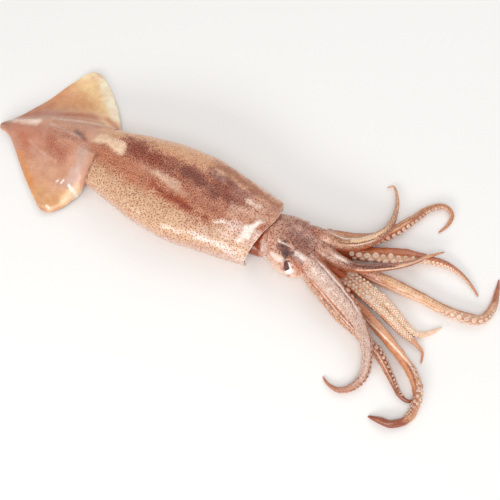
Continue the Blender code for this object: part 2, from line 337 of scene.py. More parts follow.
mantle = {
    "tail": -110.0, "rim": 103.5, "lip": 1.7, "mouth": 14.0, "skew": 0.06, "widest": 0.44,
    "lobe": 5.5, "notch": 5.5,      # how the front edge reaches forward on top and is cut back below
    "finBack": -108.0, "finFront": -26.0, "finCover": -44.0, "finSink": 1.6,
    "around": 190, "rings": 250,
    "stations": [   # x, middle, half width, height of the back, lean of its ridge
        (-110, -7.5, 2.2, 5, 0), (-96, -5, 5.5, 10, 1), (-72, -0.5, 11.5, 17.5, 2.5),
        (-42, 0, 20, 25.5, 3), (-15, 0.2, 25.6, 30.5, 3), (15, 0.4, 32.5, 33.5, 3.5),
        (44, 0.9, 35.3, 34.5, 3.5), (74, 1.4, 31.5, 33, 3), (92, 1.6, 28.4, 31, 2.5),
        (103.5, 1.5, 26.6, 30, 2.5)],
    "back": (195, 137, 108), "leftFlank": (231, 185, 147), "rightFlank": (212, 177, 145),
    "edge": (210, 182, 167), "belly": (226, 202, 184), "inside": (226, 196, 176), "rimPaintedHighlight": (250, 238, 230),
    "marks": [      # path, half width, softness, colour, strength
        ([(-26, -5), (-6, -8), (12, -10)], 5, 6, (198, 134, 98), 0.7),
        ([(50, 1), (72, -2), (90, -3)], 6, 5, (208, 158, 132), 0.8),
        ([(-8, 10), (4, 8.5), (14, 6.5), (24, 6), (34, 8.5), (48, 9), (62, 10), (76, 8), (86, 7)],
         7, 5, (171, 114, 89), 0.8),
        ([(-5, 11), (2, 9), (11, 7), (18, 6)], 3.8, 3.5, (160, 82, 48), 0.85),
        ([(22, 6.5), (33, 8)], 2.6, 3, (148, 88, 70), 0.6),
        ([(37, 10), (46, 9), (56, 6.5), (65, 4)], 4, 4, (138, 79, 64), 0.85),
        ([(58, 19), (66, 18), (74, 16)], 3.2, 3.5, (130, 62, 44), 0.75),
        ([(68, 12), (78, 12), (86, 10)], 5, 4, (166, 100, 74), 0.75),
        ([(66, 4), (73, 5), (80, 4)], 2.2, 3, (140, 76, 58), 0.7),
        ([(56, 27), (68, 25), (79, 23), (90, 21), (104, 18.5)], 4.4, 3.5, (172, 106, 76), 0.8),
        ([(48, -3), (60, -5), (72, -7)], 4, 4, (178, 118, 92), 0.6),
        # a painted highlight: a pale streak along the upper edge near the rim
        ([(86, 27, 24), (95, 25, 22), (103, 22, 20)], 1.0, 1.2, (240, 224, 214), 0.6),
        ([(6, -0.5), (16, -1), (24, -1.5)], 1.7, 2.4, (214, 168, 142), 0.85),
        ([(22, -1), (30, -2.8), (39, -5)], 3.6, 2.4, (220, 184, 160), 0.95),
        ([(40, -5.5), (47, -6.5)], 2, 2.5, (210, 166, 142), 0.7),
        ([(22, -8.5), (30, -11), (42, -12), (54, -14), (67, -14.5)], 3.4, 3.5, (198, 132, 98), 0.7),
        ([(22, -8.5), (27, -10.5)], 1.3, 1.8, (166, 84, 44), 0.9), ([(29, -11), (34, -12)], 1.6, 1.8, (162, 80, 38), 0.9),
        ([(37, -12.5), (46, -12)], 2.2, 2.2, (160, 78, 36), 0.95), ([(49, -13.5), (56, -14)], 1.9, 1.8, (160, 80, 42), 0.95),
        ([(60, -14), (68, -14.8)], 1.7, 1.7, (158, 80, 44), 0.9),
        ([(-33, 6.5), (-23, 6.5), (-13, 5)], 3.8, 2.2, (242, 210, 180), 0.95),
        ([(-18, 9), (-11, 8), (-9, 3)], 2.2, 2, (240, 208, 180), 0.9),
        ([(84, 2), (94, 3), (102, 5)], 4, 4, (224, 190, 168), 0.75),
        ([(86.5, 10.5), (94, 10.5)], 2.8, 1.8, (236, 210, 190), 0.9),
        # near the rim: a pale patch of skin with painted highlights over it, then near-white painted highlights and a
        # small painted glint
        ([(86, -12), (95, -10), (103, -12)], 6.5, 4, (228, 196, 178), 0.75),
        ([(85, -10), (93, -10.5), (102, -8)], 3.2, 1.8, (234, 216, 206), 0.7),
        ([(102, 1), (98, -5), (95, -11)], 2.2, 1.4, (250, 238, 230), 0.9),
        ([(97, -12), (94, -17)], 1.8, 1.5, (248, 234, 224), 0.8),
        ([(74, -14), (78, -11), (82, -10)], 0.8, 0.8, (250, 236, 226), 0.85),
        # a faint painted highlight on the lower flank
        ([(12, -28, 23), (18, -29, 23), (24, -29, 23)], 0.7, 0.9, (240, 218, 200), 0.6),
        ([(50, -34, 16), (72, -30, 16), (90, -26, 14)], 3, 3.5, (200, 162, 142), 0.75),
        # painted highlights: a near-white gloss line along the lower flank, and a band widening towards the rim
        ([(42, -31.5, 23), (52, -31, 23.5), (60, -30, 23.5), (70, -27.5, 23.5), (83, -25, 22.5), (94, -23, 21),
          (102, -23, 19)], 0.9, 1.2, (244, 226, 212), 0.75),
        ([(62, -25.5, 25.5), (72, -25.5, 24), (84, -25, 22), (94, -23.5, 20), (102, -22.5, 18)], 1.9, 1.5,
         (238, 224, 216), 0.7),
        ([(58, -21), (76, -19.5)], 3.5, 3.5, (200, 160, 134), 0.6),
        ([(20, -31, 14), (44, -34, 14), (64, -33, 13.5), (85, -28.5, 13), (103, -25.5, 12)], 1.6, 2.4,
         (230, 206, 194), 0.75),
        ([(92, -25, 18), (99, -25, 15), (103, -24, 8)], 3.4, 3, (234, 216, 206), 0.8),
        # painted shade: a dark line in the crease where the fins' front edge lies over the mantle
        ([(-24.5, -6), (-25.5, -15), (-26, -24)], 0.9, 1.2, (140, 84, 62), 0.7)],
    "spotMarks": [  # the same, laying fine and large spot strengths
        ([(-8, 10), (4, 8.5), (24, 6), (42, 8), (62, 9), (90, 8)], 9, 4, (0.95, 0.9), 1),
        ([(21, -9), (33, -12), (55, -13.5), (68, -15)], 4, 3, (0.8, 0.9), 1),
        ([(-33, 6.5), (-22, 6.5), (-12, 5)], 4.2, 1.8, (0.0, 0.05), 1),
        ([(8, -1), (24, -1.5), (32, -3.5), (45, -6)], 2.6, 3, (0.2, 0.3), 0.9),
        ([(84, 1), (94, 2), (102, 4)], 4, 3, (0.3, 0.7), 0.9),
        ([(87, 10.5), (94, 10.5)], 2.4, 2, (0.15, 0.3), 0.9),
        # no spots under the painted highlights near the rim
        ([(101, 0), (97, -7), (95, -14)], 3, 1.2, (0.0, 0.15), 0.9)],
}


def mantleSection(x, turn, inset=0.0, push=0.0):
    middle, half, top, lean = (readStations(mantle["stations"], x, column) for column in (1, 2, 3, 4))
    covered = np.clip((mantle["finFront"] - x) / (mantle["finFront"] - mantle["finCover"]), 0, 1)
    half = half - inset
    top = top - inset - mantle["finSink"] * covered * (x > mantle["finBack"])
    widest = top * mantle["widest"]
    skew = mantle["skew"] * np.clip((x - mantle["tail"]) / (mantle["rim"] - mantle["tail"]), 0, None) ** 4
    side, rise = np.cos(turn), np.sin(turn)
    above = widest + (top - widest) * np.abs(rise) ** 0.95
    below = widest - (widest + 1.2 - inset) * np.abs(rise) ** 0.72
    z = np.where(rise > 0, above, np.maximum(below, inset))
    y = half * np.sign(side) * np.abs(side) ** np.where(rise > 0, 0.92, 0.8) + lean * rise ** 2 * (rise > 0)
    front = easeBetween(76, 104, x) ** 2
    reach = mantle["lobe"] * bell(y - 8, 15) * easeBetween(12, 26, z) - mantle["notch"] * (1 - easeBetween(0, 7.5, z))
    return np.column_stack([x + push + skew * y + reach * front, middle + y, z])


def mantlePlace(u, v):
    # back to front, over the rounded lip, and back in as far as the open front can be seen
    rows = [(x, 0.0, 0.0) for x in np.linspace(mantle["tail"], mantle["rim"], mantle["rings"])]
    rows += [(mantle["rim"], (0.5 - 0.5 * math.cos(a)) * mantle["lip"], 1.1 * math.sin(a))
             for a in np.linspace(0.3, math.pi, 9)]
    rows += [(mantle["rim"], mantle["lip"] + 2 * a, -mantle["mouth"] * a) for a in np.linspace(0.15, 1, 10)]
    rows = np.array(rows)
    row = np.rint(v * (len(rows) - 1)).astype(int)
    return mantleSection(rows[row, 0], 2 * np.pi * u - np.pi / 2, rows[row, 1], rows[row, 2])


def makeMantle():
    piece = closedSkin("mantle", mantle["around"], mantle["rings"] + 18, mantlePlace)
    points = corners(piece)
    x, y, z = points.T
    upper = easeBetween(3, 12, z)
    nearRim = easeBetween(70, 104, x)
    relief = (0.42 * ripple(points, 17, 1) + 0.16 * ripple(points, 6, 2)) * upper * easeBetween(-26, -10, x)
    relief += 0.4 * nearRim * ripple(points * (1.0, 0.35, 0.35), 5, 3) * easeBetween(4, 10, z) * (y < 4)
    relief -= 0.5 * bell(x - 100.5, 1.2) * upper * (0.6 + 0.4 * ripple(points, 9, 4))
    swell(piece, relief)

    tone, spots = mantlePaint(points)
    tone, spots = withFinPaint(points, tone, spots)
    facing = outward(piece)
    tone = blend(tone, linear(mantle["inside"]), 0.8 * easeBetween(98, 101, x) * (facing[:, 0] < -0.2) * (x > 90))
    # a painted highlight: a near-white line along the rim's forward-facing edge
    tone = blend(tone, linear(mantle["rimPaintedHighlight"]), 0.85 * easeBetween(0.5, 0.8, facing[:, 0]) * easeBetween(8, 20, z))
    keepPaint(piece, tone, spots)
    return dress(piece, skinMaterial("mantleSkin", skinLike()))


def mantlePaint(points):
    x, y, z = points.T
    middle, half, top = (readStations(mantle["stations"], np.clip(x, -110, 103.5), c) for c in (1, 2, 3))
    across = (y - middle) / half
    wander = 0.9 * ripple(points, 7, 5) + 0.6 * ripple(points, 2.6, 6)
    tone = np.tile(linear(mantle["back"]), (len(x), 1))
    tone = blend(tone, linear(mantle["leftFlank"]), easeBetween(0.28, 0.62, across + 0.07 * wander))
    tone = blend(tone, linear(mantle["rightFlank"]), easeBetween(0.25, 0.65, -across + 0.07 * wander))
    tone = brush(tone, points, mantle["marks"], wander)
    tone *= 1 + 0.1 * (ripple(points, 3.4, 7) * easeBetween(0.9, 0.3, np.abs(across)))[:, None]
    low = 1 - easeBetween(0.32, 0.66, z / top + 0.03 * wander)
    tone = blend(tone, linear(mantle["edge"]), low * 0.7)
    tone = blend(tone, linear(mantle["belly"]), 1 - easeBetween(0.5, 5, z))
    fine = np.clip(0.95 - np.abs(across) + 0.3 * wander, 0.25, 1) * easeBetween(-40, -20, x)
    large = easeBetween(0.1, 0.4, np.abs(across)) * easeBetween(-34, -22, x) * easeBetween(1, 6, z)
    large *= np.where(y > middle, 0.5, 1.0) * (0.85 + 0.2 * wander)
    spots = np.clip(np.column_stack([fine, large]), 0, 1)
    return tone, brush(spots, points, mantle["spotMarks"], wander)


def backHeight(x, y):
    # how high the mantle's back is under the point x, y, and nothing beside it
    middle, half, top, lean = (readStations(mantle["stations"], x, c) for c in (1, 2, 3, 4))
    widest = top * mantle["widest"]
    rise = np.ones(len(x))
    for _ in range(4):
        side = np.clip(np.abs(y - middle - lean * rise ** 2) / half, 0, 1) ** (1 / 0.92)
        rise = np.sqrt(1 - side ** 2)
    beside = np.clip(np.abs(y - middle) - half, 0, None)
    return (widest + (top - widest) * rise ** 0.95) * np.exp(-(beside / 5.0) ** 1.5)


# ---------------------------------------------------------------- fins

fins = {
    "leftMargin": [(-109, -3.5), (-99.5, 11), (-91, 29.5), (-84, 48), (-77.5, 61.5), (-71, 65),
                   (-62, 61.5), (-51, 53.5), (-39, 42), (-28, 28)],
    "rightMargin": [(-109, -9), (-99, -13), (-88, -22), (-74, -34), (-58, -46), (-48, -52.3),
                    (-41, -52), (-34, -43.5), (-29, -31), (-25, -19)],
    "back": -108.0, "front": -26.0, "edgeHeight": 2.2, "lift": 0.8, "cover": 0.7,
    "marginThick": 0.55, "rootThick": 4.0, "across": 170, "along": 150,
    "tone": (212, 162, 136),
    "ridges": [     # path, half width, height
        ([(-104, -3), (-93, 1), (-76, 7)], 1.8, 0.9), ([(-75, 7), (-52, 13), (-27, 21)], 1.3, 0.6),
        ([(-72, 4), (-56, 9), (-30, 16)], 1.1, 0.45), ([(-69, 2), (-56, 2), (-44, 1)], 1.0, 0.75),
        ([(-66, 0), (-54, -1), (-44, -1)], 1.2, -0.55), ([(-90, -8), (-70, -18), (-55, -27)], 1.5, 0.3),
        ([(-60, -30), (-44, -34), (-34, -33)], 2.0, 0.5), ([(-52, -44), (-44, -48)], 2.4, 0.5)],
    "marks": [
        ([(-84, 36), (-66, 40), (-48, 34)], 14, 9, (231, 172, 120), 0.9),
        ([(-84, 32), (-79, 43)], 5, 6, (226, 168, 132), 0.7),
        ([(-95, 17), (-86, 25)], 2.0, 3.0, (208, 140, 110), 0.65),
        ([(-104, 5), (-92, 9), (-81, 16), (-68, 18.5), (-60, 22), (-49, 26), (-40, 27)], 3.6, 3.6, (198, 128, 98), 0.85),
        ([(-68, 19), (-58, 22), (-47, 25.5)], 1.8, 2.4, (198, 112, 76), 0.7),
        ([(-76, 52), (-64, 52), (-54, 46), (-44, 37), (-38, 32)], 8, 7, (252, 216, 166), 0.95),
        ([(-80, 57), (-74, 62), (-62, 60), (-51, 52), (-40, 41)], 2.6, 3.5, (254, 232, 194), 0.9),
        ([(-62, 58), (-56, 53), (-46, 45), (-38, 36)], 4.0, 3.5, (255, 238, 210), 1),
        ([(-40, 29), (-31, 26.5), (-28, 25)], 2.2, 2.2, (204, 130, 84), 0.85),
        ([(-68, 10), (-54, 14.5), (-42, 18), (-32, 20)], 1.0, 1.3, (228, 196, 178), 0.75),
        ([(-66, 13.5), (-50, 18.5), (-38, 22)], 0.9, 1.4, (188, 118, 84), 0.6),
        ([(-62, 1.5), (-48, 0)], 2.4, 2.8, (176, 126, 110), 0.65),
        ([(-60, 8.5), (-48, 10), (-36, 13)], 2.2, 2.4, (210, 166, 146), 0.65),
        ([(-100, -7), (-84, -3), (-70, -3)], 4, 5, (190, 138, 120), 0.8),
        ([(-98, -8), (-84, -11), (-73, -15)], 5, 5, (194, 138, 118), 0.75),
        ([(-84, -7), (-68, -8), (-52, -13)], 6, 6, (192, 132, 106), 0.75),
        ([(-66, -9), (-58, -11), (-51, -13.5)], 2.6, 4.5, (178, 108, 78), 0.65),
        ([(-90, -10), (-82, -15), (-76, -20)], 2.4, 3.5, (192, 116, 80), 0.75),
        ([(-76, -18), (-66, -23)], 4, 5, (212, 166, 143), 0.7),
        # painted highlights: a pale band along the ridge near the tail, and a thin pale line along the next ridge
        ([(-105, -1.5), (-93, 0.5), (-83, 3.2)], 2.6, 2.6, (240, 218, 204), 0.95),
        ([(-71, 4), (-62, 3), (-53, 2), (-43, 1.5)], 1.0, 1.2, (226, 198, 184), 0.75),
        ([(-50, 4.6), (-44, 3), (-40, 1)], 1.1, 2.8, (118, 78, 76), 0.85),
        ([(-83, -11), (-71, -15), (-54, -18.5)], 0.5, 0.8, (224, 186, 168), 0.5),
        ([(-74, -29), (-62, -35), (-52, -35)], 6, 6, (220, 168, 132), 0.8),
        ([(-36, -8), (-34, -14), (-35, -22), (-36, -28)], 4, 4.5, (210, 180, 168), 0.85),
        ([(-84, -22), (-76, -29), (-64, -39), (-54, -45.5)], 2.2, 2.6, (222, 152, 86), 0.8),
        ([(-54, -42), (-44, -45), (-37, -40)], 6, 5, (222, 172, 124), 0.9),
        ([(-46, -47), (-42, -44)], 1.8, 2, (220, 162, 104), 0.6),
        ([(-36, -40), (-31, -33), (-28, -27)], 2.4, 2.4, (242, 214, 178), 0.85),
        ([(-50, -50.5), (-42, -50), (-34, -42)], 0.9, 1.2, (238, 204, 160), 0.7),
        ([(-24, -7), (-24.5, -14), (-25.5, -20), (-27, -25)], 1.6, 2.0, (188, 112, 84), 0.9),
        # painted glints: small near-white wet highlights on the right fin
        ([(-46.5, -31.2), (-45.6, -29.8)], 0.5, 0.5, (255, 250, 246), 0.9),
        ([(-42.5, -30.6), (-41.6, -28.4)], 0.6, 0.5, (255, 250, 246), 0.9),
        ([(-36, -30.3), (-33, -31.6), (-29, -32.2)], 0.8, 0.6, (255, 248, 242), 0.9),
        ([(-44, -49), (-42, -49.5)], 0.9, 0.7, (255, 244, 228), 0.7),
        ([(-110, -7), (-104, -7)], 2.5, 4, (158, 112, 94), 0.85)],
    "spotMarks": [([(-60, -2), (-42, 0), (-28, 2)], 8, 8, (0.6, 0.05), 0.9),
                  ([(-62, -9), (-50, -14)], 3, 7, (0.8, 0.15), 0.9),
                  ([(-92, -11), (-76, -22)], 4, 4, (0.5, 0.1), 0.8), ([(-90, 12), (-50, 24)], 4, 4, (0.5, 0.1), 0.8),
                  ([(-38, 7), (-27, 6.5), (-16, 5.5)], 4.2, 1.8, (0.0, 0.0), 1)],
}


def finPlace(u, v):
    # over the top from left to right, and back underneath
    x = fins["back"] + (fins["front"] - fins["back"]) * v
    over = u <= 0.5
    t = np.where(over, 2 * u, 2 - 2 * u)
    share = 0.5 - 0.5 * np.cos(np.pi * t)
    left, right = (readStations(fins[side + "Margin"], x, 1) for side in ("left", "right"))
    y = left + (right - left) * share
    middle, half, top, lean = (readStations(mantle["stations"], x, c) for c in (1, 2, 3, 4))
    ridge = middle + lean
    fromRidge = np.abs(y - ridge)
    drape = 1 / (1 + (fromRidge / (half * 1.5)) ** 2.6)
    edge = np.sin(np.pi * share) ** 0.4
    fromMargin = np.minimum(np.abs(y - left), np.abs(y - right))
    points = np.column_stack([x, y, np.zeros(len(x))])
    wave = ripple(points, 21, 8) * 0.9 + ripple(points, 8, 9) * 0.22
    skin = fins["edgeHeight"] + (top + fins["lift"] - fins["edgeHeight"]) * drape * edge
    skin += wave * easeBetween(1, 12, fromRidge - half)
    overBack = np.maximum(skin, backHeight(x, y) + fins["cover"])
    skin += (overBack - skin) * easeBetween(-84, -58, x)
    for path, wide, height in fins["ridges"]:
        skin += height * bell(pathDistance(points, path), wide)
    front = easeBetween(-44, -27, x)
    skin -= 3.2 * front * (1 - easeBetween(5, 10, np.where(y < ridge, fromRidge, fromRidge * 0.6)))
    frontThin = easeBetween(0, 5, fins["front"] - x)
    body = fins["marginThick"] + 1.1 * (1 - np.exp(-fromMargin / 3.0))
    body += (fins["rootThick"] - 1.65) * edge * (0.25 + 0.75 * drape)
    body = fins["marginThick"] + (body - fins["marginThick"]) * np.maximum(frontThin, 0.05)
    roundEdge = np.sqrt(np.clip(fromMargin / 0.5, 0, 1))
    centre = np.maximum(skin - body / 2, body / 2 + 0.05)
    z = centre + np.where(over, 0.5, -0.5) * body * roundEdge
    return np.column_stack([x, y, np.maximum(z, 0.03)])


def makeFins():
    piece = closedSkin("fins", 2 * fins["across"], fins["along"], finPlace)
    points = corners(piece)
    x, y, z = points.T
    tone, spots = withFinPaint(points, *mantlePaint(points))
    keepPaint(piece, tone, spots)
    return dress(piece, skinMaterial("finSkin", skinLike(mottle=0.4, bump=0.35, depth=0.25, coatRoughness=0.16)))


def withFinPaint(points, tone, spots):
    # the mantle's paint, turning into the fins' where they grow from its back
    x, y, z = points.T
    finTone, finSpots = finPaint(points)
    middle, lean = (readStations(mantle["stations"], np.clip(x, -110, 103.5), c) for c in (1, 4))
    offRidge = np.where(y < middle + lean, 1.0, 0.6) * np.abs(y - middle - lean)
    share = 1 - easeBetween(-38, -30, x + 2 * ripple(points, 6, 15)) * (1 - easeBetween(7, 11, offRidge))
    share *= 1 - easeBetween(-27, -25.5, x)
    return blend(tone, finTone, share), blend(spots, finSpots, share)


def finPaint(points):
    wander = 0.4 * ripple(points, 11, 12) + 0.25 * ripple(points, 4, 13)
    tone = np.tile(linear(fins["tone"]), (len(points), 1))
    tone = brush(tone, points, fins["marks"], wander)
    clouds = (ripple(points, 9, 14) + 0.5 * ripple(points * (0.5, 1.0, 1.0), 3, 16))[:, None]
    spots = np.clip(0.1 + 0.2 * wander, 0, 1)[:, None] * (1.0, 0.3)
    return tone * (1 + clouds * (0.04, 0.08, 0.12)), brush(spots, points, fins["spotMarks"], wander)


makeMantle()
print("stage: mantle")
makeFins()
print("stage: fins")


# ---------------------------------------------------------------- arms and tentacles

